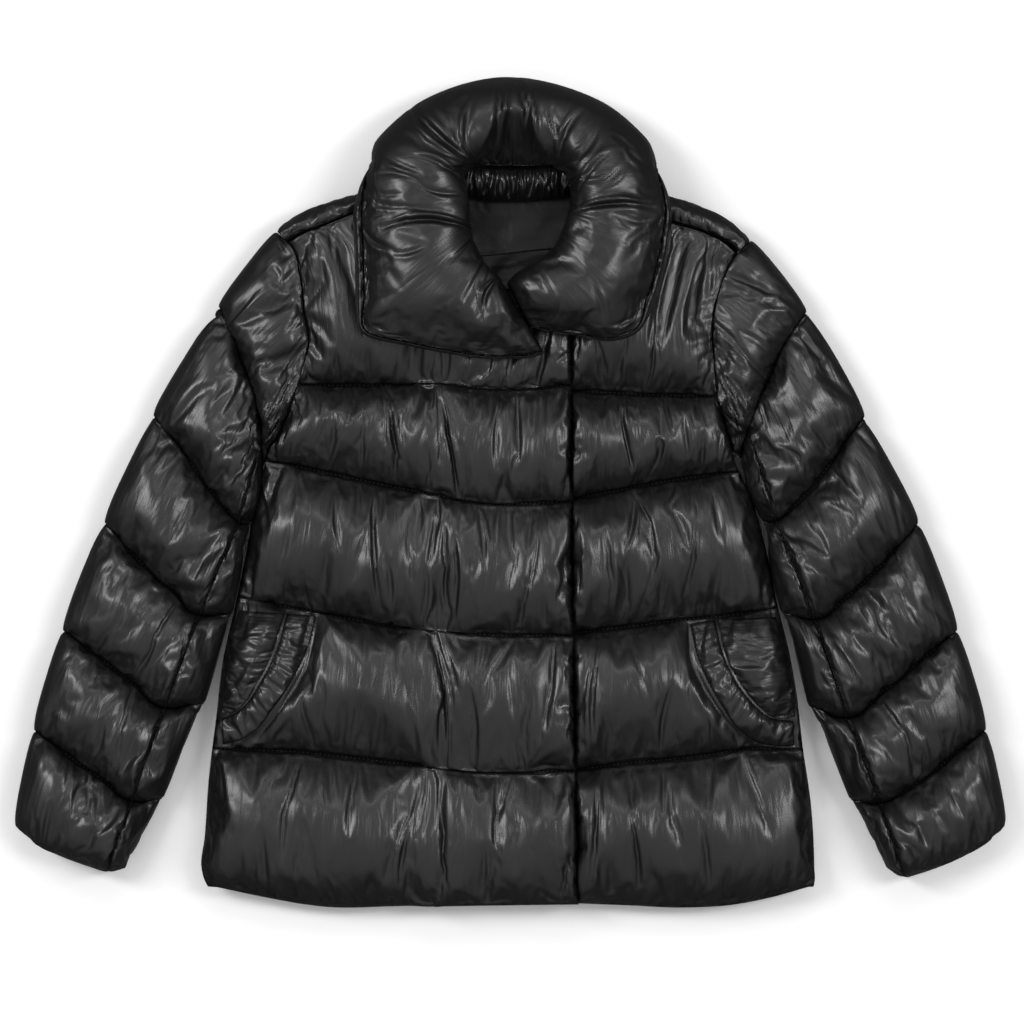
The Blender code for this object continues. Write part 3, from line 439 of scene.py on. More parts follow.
def gathers(run, distance, seed, spacing=8.0, depth=1.7):
    """Small folds that leave a stitch line: narrow troughs that widen and fade out."""
    draw = np.random.default_rng(seed)
    count = max(2, int((run.max() - run.min()) / spacing))
    height = np.zeros(np.broadcast(run, distance).shape)
    for place in np.linspace(run.min(), run.max(), count) + draw.normal(0.0, spacing / 3, count):
        length = draw.uniform(*GATHER_LENGTH) + LONG_GATHER * draw.random() ** 3
        lean, width = draw.normal(0.0, GATHER_LEAN), draw.uniform(*GATHER_WIDTH)
        deep = depth * draw.uniform(*GATHER_SHARE)
        gone = np.clip(distance / length, 0.0, 1.0)
        beside = (run - place - lean * distance) / (width * (0.7 + 0.9 * gone))
        fold = np.exp(-beside ** 2) - 0.6 * np.exp(-((beside - 1.8) / 0.9) ** 2)
        height -= deep * ease(distance / GATHER_START) * (1 - gone) ** 1.2 * fold
    return height


def section_points(section, count):
    """Points along the smooth curve of a section, and where they lie among its rows."""
    keys = np.linspace(0, len(section) - 1, count)
    return keys, curve([(i, *row) for i, row in enumerate(section)], keys).T


def yoke_pad(side):
    """Sections along the shoulder; each runs from the forward seam to the silhouette and under."""
    inward, outward = YOKE_ENDS[side]
    part = np.linspace(0.0, 1.0, 44)[:, None]
    x = inward + (outward - inward) * part
    seam, edge = (curve(table, x[:, 0])[:, None] for table in (YOKE_SEAMS[side], YOKE_EDGE))
    keys, (share, height) = section_points(YOKE_SECTION, 26)

    def placed(share, height):
        y = seam + (edge - seam) * share
        armhole = curve(SIDES[side], y) + YOKE_GAP * OUTWARD[side]
        return np.stack([inward + (armhole - inward) * part, y, height + 0 * y], -1)

    outer = placed(share, height)
    puckers = gathers(x, (edge - seam) * share, 31, spacing=7.0, depth=1.3)
    outer[..., 2] += puckers * (keys > 0) * (keys < 5) * np.sin(np.pi * part) ** 0.3
    return outer, placed(*np.array(YOKE_INSIDE).T), sewn_round(outer.shape[:2])


# Nylon for the narrow strips beside the stitching, near black and with little shine: painted shade for the
# stitching's grooves.
seam_shade_nylon = glossy_nylon("nylon taffeta puckered into its stitching", "#040404", 0.6, 0.12)
nylon = glossy_nylon("glossy black downproof nylon taffeta", "#111112", 0.32), seam_shade_nylon
back_shape = back_pad()
swelling = [make_pad("back_panel", *back_shape, nylon)]
swelling += [make_pad(f"yoke_{side}", *yoke_pad(side), nylon, 0.03, turned=True) for side in SIDES]
for pad in swelling:
    finish_pad(pad, "back")

# ------------------------------------------------------------------------------ fronts
# Two padded fronts, each quilted across in four channels and a short top one, the wearer's
# right lapping over the left.  The nylon is cut fuller than its backing, so it gathers at every
# stitch line and folds down the length of the channels.

FRONT_INSIDE = 30.0
LAP_UNDER = 39.9
LAP_INSIDE = 40.4
CREST = 64.0
TOP_CREST = 57.5
SHOULDER_SEAM = 50.0
STITCH_COVER = 3.6
SIDE_SEAM = 31.0
ARMHOLE_SEAM = 47.0
ARMHOLE_FOOT = 10.0
ARMHOLE_RISE = 40.0
ARMHOLE_RADIUS = 17.0
EDGE_RADIUS = 32.0
OPENING_RADIUS = {"right": 5.0, "left": 3.5}
OPENING_REACH = 20.0
OPENING_SHOULDER = 22.0
OPENING_FILLING = 0.94
TUCKED = 1.5
LAP_END = 76.0
LAP_SLOPE = 22.0
UNDERLAP_WIDTH = 108.0
UNDERLAP_POINTS = 8
WAVE = 0.7
FRONT_SEEDS = {"right": 21, "left": 121}
FRONT_POINT = 2.1
FRONT_ROWS = 46
TOP_ROWS = 56

OPENING_EDGE = ((-398, 66), (-265, 64), (-135, 62), (-6, 60), (106, 60), (200, 60))
# Stitch lines, hem first: y at even places from the opening edge to the side.
LINE_PLACES = (0.0, 0.25, 0.5, 0.75, 1.0)
FRONT_LINES = {
    "right": (
        (-394, -395, -396.5, -396.5, -376), (-265, -266, -258, -248, -244),
        (-135, -134, -127, -114, -97), (-6, -8, 4, 19, 34), (106, 102, 107, 106, 106),
    ),
    "left": (
        (-394, -396, -398, -394, -376), (-265, -258, -253, -245, -245), (-133, -127, -121, -116, -108),
        (-4, 4, 12, 18, 23), (100, 99, 97, 96, 95),
    ),
}
# Neckline and forward shoulder seam.  Columns: share of the way from the opening edge, y.
FRONT_TOPS = {
    "right": (
        (0.0, 185), (0.25, 185), (0.34, 195), (0.385, 222), (0.415, 262), (0.455, 286), (0.51, 290),
        (0.60, 281), (0.74, 270), (0.873, 255), (0.945, 248.5), (1.0, 243),
    ),
    "left": (
        (-1.0, 185), (-0.5, 185), (-0.25, 202), (0.0, 224), (0.06, 254), (0.11, 283), (0.18, 291),
        (0.40, 273), (0.56, 261), (0.72, 253), (0.83, 245), (0.93, 237.5), (1.0, 232),
    ),
}
# Where the plain inside has its points, as shares of the way from the opening edge.
INSIDE_PLACES = {"right": (0.999, 0.8, 0.6, 0.45, 0.39, 0.001), "left": (0.999, 0.5, 0.001, -0.999)}
# Main folds pressed into each front.  Columns: x and y of both ends, half width, depth, bow.
FOLDS = {
    "right": (
        (-57, -396, -63, -268, 2.4, 5.5, -4), (-67, -392, -70, -320, 2.4, 3, 3),
        (-61, -262, -78, -132, 2.4, 5.5, 6), (-66, -250, -58, -176, 2.2, 3, -7),
        (-53, -124, -53, -34, 2.4, 5.5, 3), (-60, -110, -58, -60, 2.2, 3, -3),
        (-50, -4, -65, 92, 2.4, 6, 2), (-64, 110, -66, 160, 2.4, 3, 0), (-112, 8, -120, 98, 2.4, 4, 5),
        (-104, 30, -111, 84, 2.2, 4, -5), (-124, -112, -130, 10, 2.4, 5, -4),
        (-116, -112, -121, -52, 2.2, 3, 3), (-88, -262, -104, -196, 2.6, 2.4, 3),
        (-155, -330, -145, -255, 2.8, 2.4, -3), (-24, -70, -32, -5, 2.4, 2.4, 2),
        (-14, 26, -6, 100, 2.4, 2.4, -2), (-222, -92, -205, 22, 2.8, 2.4, 3),
        (-106, -380, -92, -306, 2.6, 2.4, -4), (-88, -128, -82, -66, 2.4, 3, 3),
        (-30, -392, -24, -330, 2.4, 2.4, 2), (-180, 14, -168, 80, 2.6, 2.4, 3),
        (-160, -60, -166, 6, 2.4, 2.4, -3), (-30, -250, -40, -170, 2.4, 2.2, 2),
        (10, -240, 2, -150, 2.4, 2.2, -3),
    ),
    "left": (
        (74, -396, 83, -268, 2.4, 5.5, 3), (90, -390, 86, -320, 2.4, 3, -2),
        (80, -262, 87, -136, 2.4, 5, -4), (107, -60, 119, 4, 2.4, 4, 3), (95, -128, 88, -20, 2.4, 4, 4),
        (118, 22, 108, 92, 2.4, 4, -3), (132, 100, 136, 148, 2.6, 2.4, 2),
        (205, -60, 195, 12, 2.6, 2.4, -3), (165, -104, 178, -20, 2.4, 2.4, 3),
        (146, -250, 154, -180, 2.4, 2.4, -3), (124, -390, 114, -300, 2.4, 2.4, 3),
        (190, -380, 178, -300, 2.6, 2.4, 3), (150, -10, 158, 14, 2.4, 1.8, 0),
        (170, 30, 160, 92, 2.4, 2.2, 2),
    ),
}
# Pocket curves: the one that lies inward and the one nearer the side.
POCKETS = {
    "right": (
        ((-187, -116), (-192, -140), (-201, -162), (-214, -187), (-228, -206), (-243, -225),
         (-260, -236), (-277, -241)),
        ((-215, -114), (-221, -138), (-229, -160), (-240, -180), (-250, -196), (-261, -207),
         (-270, -212), (-278, -215)),
    ),
    "left": (
        ((173, -124), (179, -152), (190, -180), (205, -206), (220, -226), (237, -238),
         (256, -242), (274, -242)),
        ((198, -120), (203, -147), (214, -174), (228, -194), (240, -206), (252, -214),
         (263, -216), (273, -217)),
    ),
}
POCKET_SINK = 8.0
POCKET_REACH = 30.0
POCKET_SLOPE = 14.0
# A fold's profile: depth of its trough, height of its ridge, and how far aside the ridge lies.
TROUGH = 0.65
RIDGE = 0.55
RIDGE_ASIDE = 1.9


def along_curve(points, count):
    """Even points along a smooth curve through a few given ones."""
    points = np.array(points, dtype=float)
    run = running(np.linalg.norm(np.diff(points, axis=0), axis=1))
    return curve(np.column_stack([run / run[-1], points]), np.linspace(0.0, 1.0, count))


def front_x(side, share, y):
    """x at a share of the way from the opening edge to the side seam, or below 0 of the underlap."""
    edge = curve(OPENING_EDGE, y) - (TUCKED if side == "left" else 0.0)
    seam = curve(SIDES[side], y)
    return np.where(share < 0, edge + share * UNDERLAP_WIDTH, edge + share * (seam - edge))


def fold_depth(folds, x, y):
    """Depth of pressed folds: a crease, narrow at both ends, under the ridge that rolls over it."""
    depth = np.zeros(np.broadcast(x, y).shape)
    for x_low, y_low, x_high, y_high, half_width, deep, bow in folds:
        run = np.array((x_high - x_low, y_high - y_low), dtype=float)
        length = np.hypot(*run)
        run /= length
        along = ((x - x_low) * run[0] + (y - y_low) * run[1]) / length
        beside = (x - x_low) * run[1] - (y - y_low) * run[0] - 4 * bow * along * (1 - along)
        taper = np.sin(np.pi * np.clip(along, 0.0, 1.0))
        beside = beside * np.sign(bow + 0.5) / (half_width * (0.5 + 0.5 * taper))
        ridge = np.exp(-((beside - RIDGE_ASIDE) / 1.1) ** 2)
        ridge += 0.15 * np.exp(-((beside + 2.4) / 1.6) ** 2)
        depth += deep * taper ** 0.9 * (TROUGH * np.exp(-beside ** 2) - RIDGE * ridge)
    return depth


def pocket_sink(side, x, y):
    """How much lower the front lies where the pocket's band is sewn on."""
    inward, sideward = (along_curve(points, 60) for points in POCKETS[side])
    middle = (inward + sideward) / 2
    gap = np.sqrt(((np.stack([x, y], -1)[..., None, :] - middle) ** 2).sum(-1)).min(-1)
    return POCKET_SINK * ease((POCKET_REACH - gap) / POCKET_SLOPE)


def away_from_stitching(along):
    """0 on both stitch lines of a channel and 1 over most of its length."""
    return ease(np.minimum(along, 1 - along) * 6)


def front_pad(side):
    """Rows of points from the hem up; each runs from the opening edge to the side seam."""
    # Its width near the pocket sets how many points lie across.
    width = abs(SIDES[side][6][1] - OPENING_EDGE[0][1])
    across = np.linspace(0.0, 1.0, int(width / FRONT_POINT))
    if side == "left":
        underlap = np.linspace(-1.0, 0.0, UNDERLAP_POINTS, endpoint=False)
        across = np.concatenate([underlap, across])
    lines = [curve(list(zip(LINE_PLACES, row)), np.maximum(across, 0.0)) for row in FRONT_LINES[side]]
    lines.append(curve(FRONT_TOPS[side], across))
    rows = [(c, t) for c in range(4) for t in channel_stops(FRONT_ROWS)]
    rows += [(4, t) for t in (*channel_stops(TOP_ROWS), 1.0)]
    channel = np.array([c for c, _ in rows])[:, None]
    along = np.array([t for _, t in rows])[:, None]
    lines = np.array(lines)
    y = lines[channel[:, 0]] + (lines[channel[:, 0] + 1] - lines[channel[:, 0]]) * along
    x = front_x(side, across[None, :], y)
    # The right front lies higher where it laps over the left.
    lap = 1 - ease((-x - LAP_END) / LAP_SLOPE) if side == "right" else np.zeros_like(x)
    inside = FRONT_INSIDE + (LAP_INSIDE - FRONT_INSIDE) * lap
    top_cover = SHOULDER_SEAM - inside
    covers = np.stack([np.full_like(x, EDGE_COVER)] + [np.full_like(x, STITCH_COVER)] * 4 + [top_cover])
    index = np.broadcast_to(channel, x.shape)
    low = np.take_along_axis(covers, index[None], 0)[0]
    high = np.take_along_axis(covers, index[None] + 1, 0)[0]
    base = inside + low + (high - low) * along
    crest = np.where(index == 4, TOP_CREST, CREST)
    swell = puff(along)
    # Slack waves, and gathers from both stitch lines of each channel.
    seed = FRONT_SEEDS[side]
    wave = WAVE * ripples(x.shape, (27, 9), seed) * away_from_stitching(along)
    for number in range(5):
        here = channel[:, 0] == number
        span = lines[number + 1] - lines[number]
        for line, way in ((number, along[here]), (number + 1, 1 - along[here])):
            wave[here] += gathers(x[here], span * way, seed + line + 1)
    # It is filled nearly to the full along the opening, and flatter beyond.
    from_opening = np.abs(front_x(side, 0.0, y) - x)
    filled = SLACK + (OPENING_FILLING - SLACK) * np.exp(-(from_opening / OPENING_SHOULDER) ** 2)
    height = base + (crest - base) * filled * swell
    height += (wave - fold_depth(FOLDS[side], x, y) - pocket_sink(side, x, y)) * swell
    # It falls to the side seam and, from higher and more steeply, to the armhole.
    side_x = front_x(side, 1.0, y)
    raised = ease((y - ARMHOLE_FOOT) / ARMHOLE_RISE)
    at_seam = SIDE_SEAM + (ARMHOLE_SEAM - SIDE_SEAM) * raised
    radius = EDGE_RADIUS + (ARMHOLE_RADIUS - EDGE_RADIUS) * raised
    height = at_seam + (height - at_seam) * rounded(np.abs(side_x - x), radius)
    # At the opening it rolls down: the right front to its own inside, the left one under the lap.
    roll = rounded(from_opening, OPENING_RADIUS[side])
    edge = LAP_INSIDE + EDGE_COVER if side == "right" else LAP_UNDER
    height = np.where(x > OPENING_REACH, edge + (height - edge) * roll, height)
    height = np.where(across[None, :] < 0, LAP_UNDER, height)
    x = np.where(across[None, :] == 1.0, x - np.sign(x) * SEAM_GAP, x)
    outer = np.stack([x, y, height], -1)
    held = np.broadcast_to((along == 0.0) | (along == 1.0), x.shape).copy()
    held[:, across <= 0.0] = True
    held[:, [0, -1]] = True
    places = np.array(INSIDE_PLACES[side])
    inner = outer[:, np.searchsorted(across, places) - 1].copy()
    inner[..., 0] = front_x(side, places[None, :], inner[..., 1])
    inner[..., 2] = FRONT_INSIDE
    if side == "right":
        inner[:, -2:, 2] = LAP_INSIDE
    return outer, inner, held


front_shapes = {side: front_pad(side) for side in SIDES}
fronts = {side: make_pad(f"front_panel_{side}", *shape, nylon) for side, shape in front_shapes.items()}
swelling += fronts.values()
for side, pad in fronts.items():
    finish_pad(pad, f"front_{side}")

# ----------------------------------------------------------------------------- sleeves
# Each sleeve is a padded tube pressed flat: a wide top sleeve that turns round the outer edge,
# and a narrow under sleeve round the inner edge.  Five stitch lines cross it on the slant.

SLEEVE_CREST = 63.0
SLEEVE_INSIDE = (29.6, 30.4)
SLEEVE_BULGE = 4.5
ARMPIT_Y = {"right": 34.0, "left": 40.0}
ARMHOLE_LIFT = 16.0
CUFF_LIFT = 22.0
CUFF_COVER = 3.0
SEAM_ON_TOP = 0.80
SEAM_BENEATH = 0.70
TURN_IN = 0.14
SEAM_DIP = 5.0
SEAM_REACH = 4.0
SEAM_SHOULDER = 15.0
CUFF_FROM = 0.8
CUFF_SHARE = 0.2
BENEATH_RUFFLE = 0.3
SLEEVE_GATHERS = (9.0, 2.2)
SLEEVE_SEEDS = {"right": 51, "left": 151}
SLEEVE_WIDTH = 160.0
SLEEVE_CHANNEL = 105.0
SLEEVE_POINT = 2.6
# Top and under sleeve: the edge that it turns round, its points above and beneath, and where its
# plain inside turns.
SLEEVE_PARTS = {
    "top": (0.0, int(SLEEVE_WIDTH / SLEEVE_POINT), 28, TURN_IN),
    "under": (1.0, 18, 15, 1 - TURN_IN),
}
# Stitch lines down each sleeve, from the outer edge to the inner edge; the last is the cuff.
SLEEVE_PLACES = (0.0, 0.27, 0.54, 0.80, 1.0)
SLEEVE_LINES = {
    "right": (
        ((-280, 180), (-261, 137), (-244, 89), (-238, 50), (-238, 28)),
        ((-343, 75), (-315, 40), (-287, 3), (-261, -27), (-251, -27)),
        ((-390, -28), (-358, -63), (-326, -93), (-299, -116), (-268, -114)),
        ((-430, -132), (-396, -157), (-363, -182), (-332, -205), (-295, -201)),
        ((-458, -228), (-425, -252), (-394, -274), (-364, -295), (-336, -293)),
        ((-476, -321), (-451, -340), (-419, -354), (-387, -363), (-371, -360)),
    ),
    "left": (
        ((285, 175), (265, 144), (245, 105), (228, 62), (222, 36)),
        ((341, 74), (315, 39), (288, 4), (256, -25), (243, -24)),
        ((393, -29), (360, -66), (325, -98), (293, -120), (262, -113)),
        ((430, -132), (398, -158), (363, -187), (324, -215), (288, -203)),
        ((458, -228), (424, -254), (393, -277), (356, -297), (329, -294)),
        ((476, -321), (451, -341), (416, -358), (379, -368), (364, -360)),
    ),
}
CHANNELS = len(SLEEVE_PLACES) + 1


def sleeve_line(side, index, share):
    """Points of a stitch line at shares of its run; line 0 is the armhole."""
    if index == 0:
        tip = SIDES[side][-1][0]
        y = tip + (ARMPIT_Y[side] - tip) * share
        return np.column_stack([curve(SIDES[side], y) + OUTWARD[side] * SEAM_GAP, y])
    return curve([(p, *xy) for p, xy in zip(SLEEVE_PLACES, SLEEVE_LINES[side][index - 1])], share)


def sleeve_plan(side, channel, along, share):
    """Plan of the rows of one channel of the sleeve, and how long the channel is along each."""
    low, high = sleeve_line(side, channel, share), sleeve_line(side, channel + 1, share)
    length = np.linalg.norm(high - low, axis=1, keepdims=True)
    run = (high - low) / length
    outward = np.column_stack([run[:, 1], -run[:, 0]]) * -OUTWARD[side]
    bulge = SLEEVE_BULGE * puff(along)[:, None] * (1 - share) ** 3
    return low + (high - low) * along[:, None, None] + outward * bulge[..., None], length[:, 0]


def sleeve_pad(side, part):
    """Rows down the sleeve; each runs from the seam on top, round an edge, to the seam beneath."""
    outline, points_above, points_beneath, turn = SLEEVE_PARTS[part]
    above = np.linspace(SEAM_ON_TOP, outline, points_above)
    beneath = np.linspace(outline, SEAM_BENEATH, points_beneath)[1:]
    share = np.concatenate([above, beneath])
    is_above = np.arange(len(share)) < len(above)
    inner_share = np.array((SEAM_BENEATH, turn, turn, SEAM_ON_TOP))
    inner_height = np.array((SLEEVE_INSIDE[0],) * 2 + (SLEEVE_INSIDE[1],) * 2)
    outer, inner, held = [], [], []
    for channel in range(CHANNELS):
        seed = SLEEVE_SEEDS[side] + channel
        stops = channel_stops(int(SLEEVE_CHANNEL / SLEEVE_POINT))
        if channel == CHANNELS - 1:
            stops = np.append(stops, 1.0)
        along = stops[:, None]
        base, floor_side = FRONT_INSIDE + STITCH_COVER, GROOVE * (1 - SLACK * puff(along))
        if channel == 0:
            base = base + (ARMHOLE_SEAM - base) * (1 - along)
            floor_side = floor_side + ARMHOLE_LIFT * np.clip(1 - 2 * along, 0.0, 1.0) ** 2
        elif channel == CHANNELS - 1:
            base = base + (FRONT_INSIDE + CUFF_COVER - base) * along
            at_cuff = np.clip((along - CUFF_FROM) / CUFF_SHARE, 0.0, 1.0)
            floor_side = floor_side + CUFF_LIFT * at_cuff ** 2
        plan, length = sleeve_plan(side, channel, stops, share)
        ends = sleeve_plan(side, channel, stops, np.array((0.0, 1.0)))[0]
        width = np.linalg.norm(ends[:, 1] - ends[:, 0], axis=1)[:, None]
        ruffle = WAVE * ripples(plan.shape[:2], (19, 7), seed) * away_from_stitching(along)
        ruffle += gathers(share * width, length * along, seed, *SLEEVE_GATHERS)
        ruffle += gathers(share * width, length * (1 - along), seed + 1, *SLEEVE_GATHERS)
        # It is full beside the long seam on top, where its stitching dips, and flatter beyond.
        from_seam = np.abs(share - SEAM_ON_TOP) * width
        filled = SLACK + (1 - SLACK) * np.exp(-(from_seam / SEAM_SHOULDER) ** 2)
        upper = base + ((SLEEVE_CREST - base) * filled + ruffle) * puff(along)
        upper -= SEAM_DIP * puff(along) * np.exp(-(from_seam / SEAM_REACH) ** 2)
        height = np.where(is_above, upper, floor_side + BENEATH_RUFFLE * ruffle * puff(along))
        edge = rounded(np.minimum(share, 1 - share) * width, EDGE_RADIUS)
        outer.append(np.dstack([plan, FRONT_INSIDE + (height - FRONT_INSIDE) * edge]))
        inside = sleeve_plan(side, channel, stops, inner_share)[0]
        inner.append(np.dstack([inside, np.broadcast_to(inner_height, inside.shape[:2])]))
        held.append(np.broadcast_to((along == 0.0) | (along == 1.0), plan.shape[:2]))
    outer, inner, held = (np.concatenate(rows) for rows in (outer, inner, held))
    held[:, [0, -1]] = True
    return outer, inner, held


sleeve_shapes = {(part, side): sleeve_pad(side, part) for side in SIDES for part in SLEEVE_PARTS}
sleeves = {f"sleeve_{part}_{side}": make_pad(f"{part}_sleeve_{side}", *shape, nylon)
           for (part, side), shape in sleeve_shapes.items()}
swelling += sleeves.values()
for node, pad in sleeves.items():
    finish_pad(pad, node)

# ------------------------------------------------------------------------------ collar
# A wide shawl of down between two layers of nylon.  It stands up round the neck, rolls over
# and lies on the fronts; the upper layer is larger and gathered along the neck seam.

COLLAR_LOWER = 5.0
NECK_GATHER = 3.4
EDGE_GATHER = 1.0
COLLAR_MIDDLE = 76.5
END_ROUNDING = 20.0
END_SWELL = 0.35
RIM_NARROWING = 0.6
RIM_FROM = 0.65
RIM_SHARE = 0.25
RIM_GATHER = 1.6
RIM_STEP = 6.0
LOWER_EDGE = 152.0
LOWER_EDGE_RISE = 30.0
PLEAT_MIDDLE = 2.0
PLEAT_FOOT = (317.0, 38.0)
PLEAT_SLOPE = 1.0
PLEAT_LENGTH = 78.0
PLEAT_HALF_WIDTH = 34.0
# Places along a section's points: the neck seam, the pleat's end and the seam at the edge.
NECK_SEAM = 1.5
PLEAT_END = 9.0
EDGE_SEAM = 11.5
END_FOOT = 70.0
COLLAR_WAVE = 0.6
# Columns: inner x and y, outer x and y, how far it has left the fronts for the floor, height.
COLLAR_RIGHT = (
    (-7, 202, 33, 135, 0.0, 0.80), (-10, 205, 20, 131, 0.0, 0.88), (-13, 209, 2, 130, 0.0, 0.95),
    (-19, 216, -25, 130, 0.0, 1.0), (-25, 224, -60, 135, 0.0, 1.0), (-30, 233, -96, 142, 0.0, 0.98),
    (-35, 245, -138, 152, 0.0, 0.96), (-37, 256, -147, 172, 0.0, 0.97), (-38, 266, -148, 204, 0.0, 0.98),
    (-39, 278, -149, 235, 0.0, 0.98), (-41, 292, -150, 269, 0.0, 0.98), (-42, 304, -144, 303, 0.12, 0.98),
    (-38, 311, -134, 329, 0.38, 0.98), (-31, 314, -117, 352, 0.65, 0.97), (-22, 315, -86, 376, 0.88, 0.96),
    (-10, 315, -44, 393, 1.0, 0.95), (2, 315, -3, 399, 1.0, 0.92),
)
COLLAR_LEFT = (
    (-3, 202, 19, 159, 0.0, 0.78), (1, 206, 30, 157, 0.0, 0.86), (8, 212, 46, 154, 0.0, 0.94),
    (20, 220, 72, 150, 0.0, 1.0), (32, 228, 99, 147, 0.0, 1.0), (42, 239, 124, 157, 0.0, 0.98),
    (47, 250, 139, 186, 0.0, 0.97), (52, 262, 148, 218, 0.0, 0.98), (56, 274, 153, 246, 0.0, 0.98),
    (57, 286, 155, 272, 0.02, 0.98), (54, 299, 149, 302, 0.12, 0.98), (49, 308, 138, 329, 0.38, 0.98),
    (42, 314, 120, 352, 0.65, 0.97), (32, 315, 88, 376, 0.88, 0.96), (18, 315, 42, 393, 1.0, 0.94),
)
# Sections where it lies on the fronts, hangs over the shoulder and lies folded on the floor.
# Columns: share of its width and height, for each of the three.
UPPER_FACE = (
    (0.10, 60.5, 0.06, 49, -0.17, 32.5), (0.03, 69, 0.02, 63, -0.02, 44), (0.0, 81, 0.01, 76, 0.03, 57),
    (0.03, 93, 0.05, 90, 0.10, 68), (0.12, 103, 0.16, 100, 0.25, 80), (0.27, 108, 0.33, 105, 0.45, 87),
    (0.43, 108, 0.52, 104, 0.66, 86), (0.58, 105, 0.70, 98, 0.84, 77), (0.71, 99, 0.86, 86, 0.96, 61),
    (0.80, 94, 0.95, 71, 1.0, 42), (0.86, 88, 0.985, 51, 0.95, 18), (0.90, 83, 0.985, 32, 0.80, 0),
    (0.912, 79.5, 0.955, 22, 0.385, 0),
)
UPPER_INSIDE = (
    (0.90, 73.5, 0.90, 23, 0.385, 13), (0.75, 72.5, 0.87, 40, 0.72, 14), (0.60, 72, 0.80, 56, 0.83, 24),
    (0.35, 70, 0.50, 62, 0.72, 33), (0.16, 66, 0.13, 55, -0.15, 30.5),
)
LOWER_OUTSIDE = (
    (0.922, 79.0, 0.943, 20, 0.366, 1.0), (0.965, 81.5, 0.92, 15.5, 0.342, 2.5),
    (1.0, 67.0, 0.88, 13.5, 0.33, 11), (0.96, 58.3, 0.83, 18, 0.35, 21.5),
    (0.75, 57.9, 0.80, 32, 0.66, 22.6), (0.60, 57.9, 0.745, 45, 0.70, 24.0),
    (0.35, 57.9, 0.50, 50.5, 0.62, 25.2), (0.185, 57.9, 0.15, 46.5, -0.13, 25),
)
LOWER_INSIDE = (
    (0.185, 65, 0.15, 54.2, -0.13, 29.7), (0.35, 69.0, 0.50, 61.2, 0.705, 32.4),
    (0.60, 71.0, 0.785, 55, 0.815, 24), (0.75, 71.5, 0.855, 39.5, 0.705, 14.6),
    (0.89, 72.3, 0.885, 22.5, 0.366, 13.9),
)
# Folds pressed into the collar.  Columns: x and y of both ends, half width, depth, bow.
COLLAR_FOLDS = (
    (-11, 410, -22, 316, 2.8, 8, -6), (4, 410, 19, 322, 2.8, 8, -3), (-3, 372, -2, 324, 2.1, 3, 2),
    (-122, 252, -30, 250, 2.6, 9, -9), (-139, 256, -108, 232, 2.4, 6, 5),
    (-112, 228, -76, 236, 2.1, 2.4, 3), (-100, 380, -38, 320, 3.4, 13, 5),
    (-84, 376, -56, 342, 2.2, 3, -3), (-124, 330, -80, 306, 2.2, 3, 4),
    (-112, 346, -80, 326, 2.2, 3, -5), (-128, 276, -80, 274, 2.1, 2.4, 3),
    (-130, 264, -88, 266, 2.0, 1.8, -3), (-132, 304, -80, 296, 2.2, 2.4, -5),
    (-134, 290, -96, 286, 2.0, 1.8, 3), (58, 268, 140, 272, 2.6, 9, -6),
    (104, 262, 138, 264, 2.1, 2.4, 4), (98, 328, 62, 286, 2.2, 4, 5), (108, 320, 78, 290, 2.1, 3, -4),
    (106, 334, 134, 312, 2.2, 3, 5), (90, 340, 112, 330, 2.0, 1.8, -3), (22, 384, 14, 344, 2.2, 4, 2),
    (38, 376, 46, 332, 2.2, 4, 4), (68, 368, 42, 314, 2.4, 5, 5), (84, 356, 58, 312, 2.2, 3, -4),
    (-34, 378, -40, 326, 2.4, 4, 3), (-52, 370, -50, 326, 2.2, 3, -3), (-9, 208, -24, 172, 2.4, 5, 5),
    (76, 200, 88, 160, 2.1, 3, -3), (92, 162, 124, 174, 2.1, 3, 3), (102, 158, 114, 180, 2.0, 2.4, 2),
    (66, 156, 78, 178, 2.0, 2.4, -2), (-134, 166, -108, 180, 2.1, 3, 4),
    (-138, 182, -104, 192, 2.1, 2.4, -4), (-128, 158, -112, 180, 2.0, 2.4, 3),
    (-104, 152, -92, 172, 2.0, 1.8, 2), (-60, 138, -48, 162, 2.0, 2.4, 3),
    (-30, 134, -16, 156, 2.1, 2.4, 3), (-86, 144, -72, 164, 2.0, 1.8, 2),
    (26, 158, 46, 188, 2.2, 2.4, 4), (50, 150, 60, 176, 2.1, 2.4, 3),
    (-147, 218, -110, 214, 2.1, 2.4, 4), (-147, 236, -124, 226, 2.0, 2.4, 3),
    (152, 248, 114, 238, 2.2, 2.4, 4), (153, 288, 118, 290, 2.1, 2.4, -4),
    (150, 302, 116, 310, 2.1, 2.4, 3), (-44, 300, -92, 322, 2.4, 3, 4),
    (-42, 286, -84, 292, 2.2, 2.4, -3), (56, 300, 96, 310, 2.2, 2.4, 3),
)


def collar_section(station, section, places):
    """Points of one section of the collar, between the three that the table gives."""
    inner_xy, outer_xy, on_floor, height = station[0:2], station[2:4], station[4], station[5]
    keys = np.array(section, dtype=float).reshape(len(section), 3, 2)
    stage = np.clip(on_floor, 0.0, 1.0) * 2
    first = min(int(stage), 1)
    points = keys[:, first] + (keys[:, first + 1] - keys[:, first]) * (stage - first)
    points[:, 1] = np.where(points[:, 1] > COLLAR_MIDDLE,
                            COLLAR_MIDDLE + (points[:, 1] - COLLAR_MIDDLE) * height, points[:, 1])
    share, z = curve(np.column_stack([np.arange(len(points)), points]), places).T
    # Along the lower edge the seam lies close to the rim.
    lower_edge = (1 - ease((outer_xy[1] - LOWER_EDGE) / LOWER_EDGE_RISE)) * (1 - stage / 2)
    narrowed = RIM_NARROWING * lower_edge * ease((share - RIM_FROM) / RIM_SHARE)
    share = 1 - (1 - share) * (1 - narrowed)
    return np.column_stack([inner_xy + (outer_xy - inner_xy) * share[:, None], z])


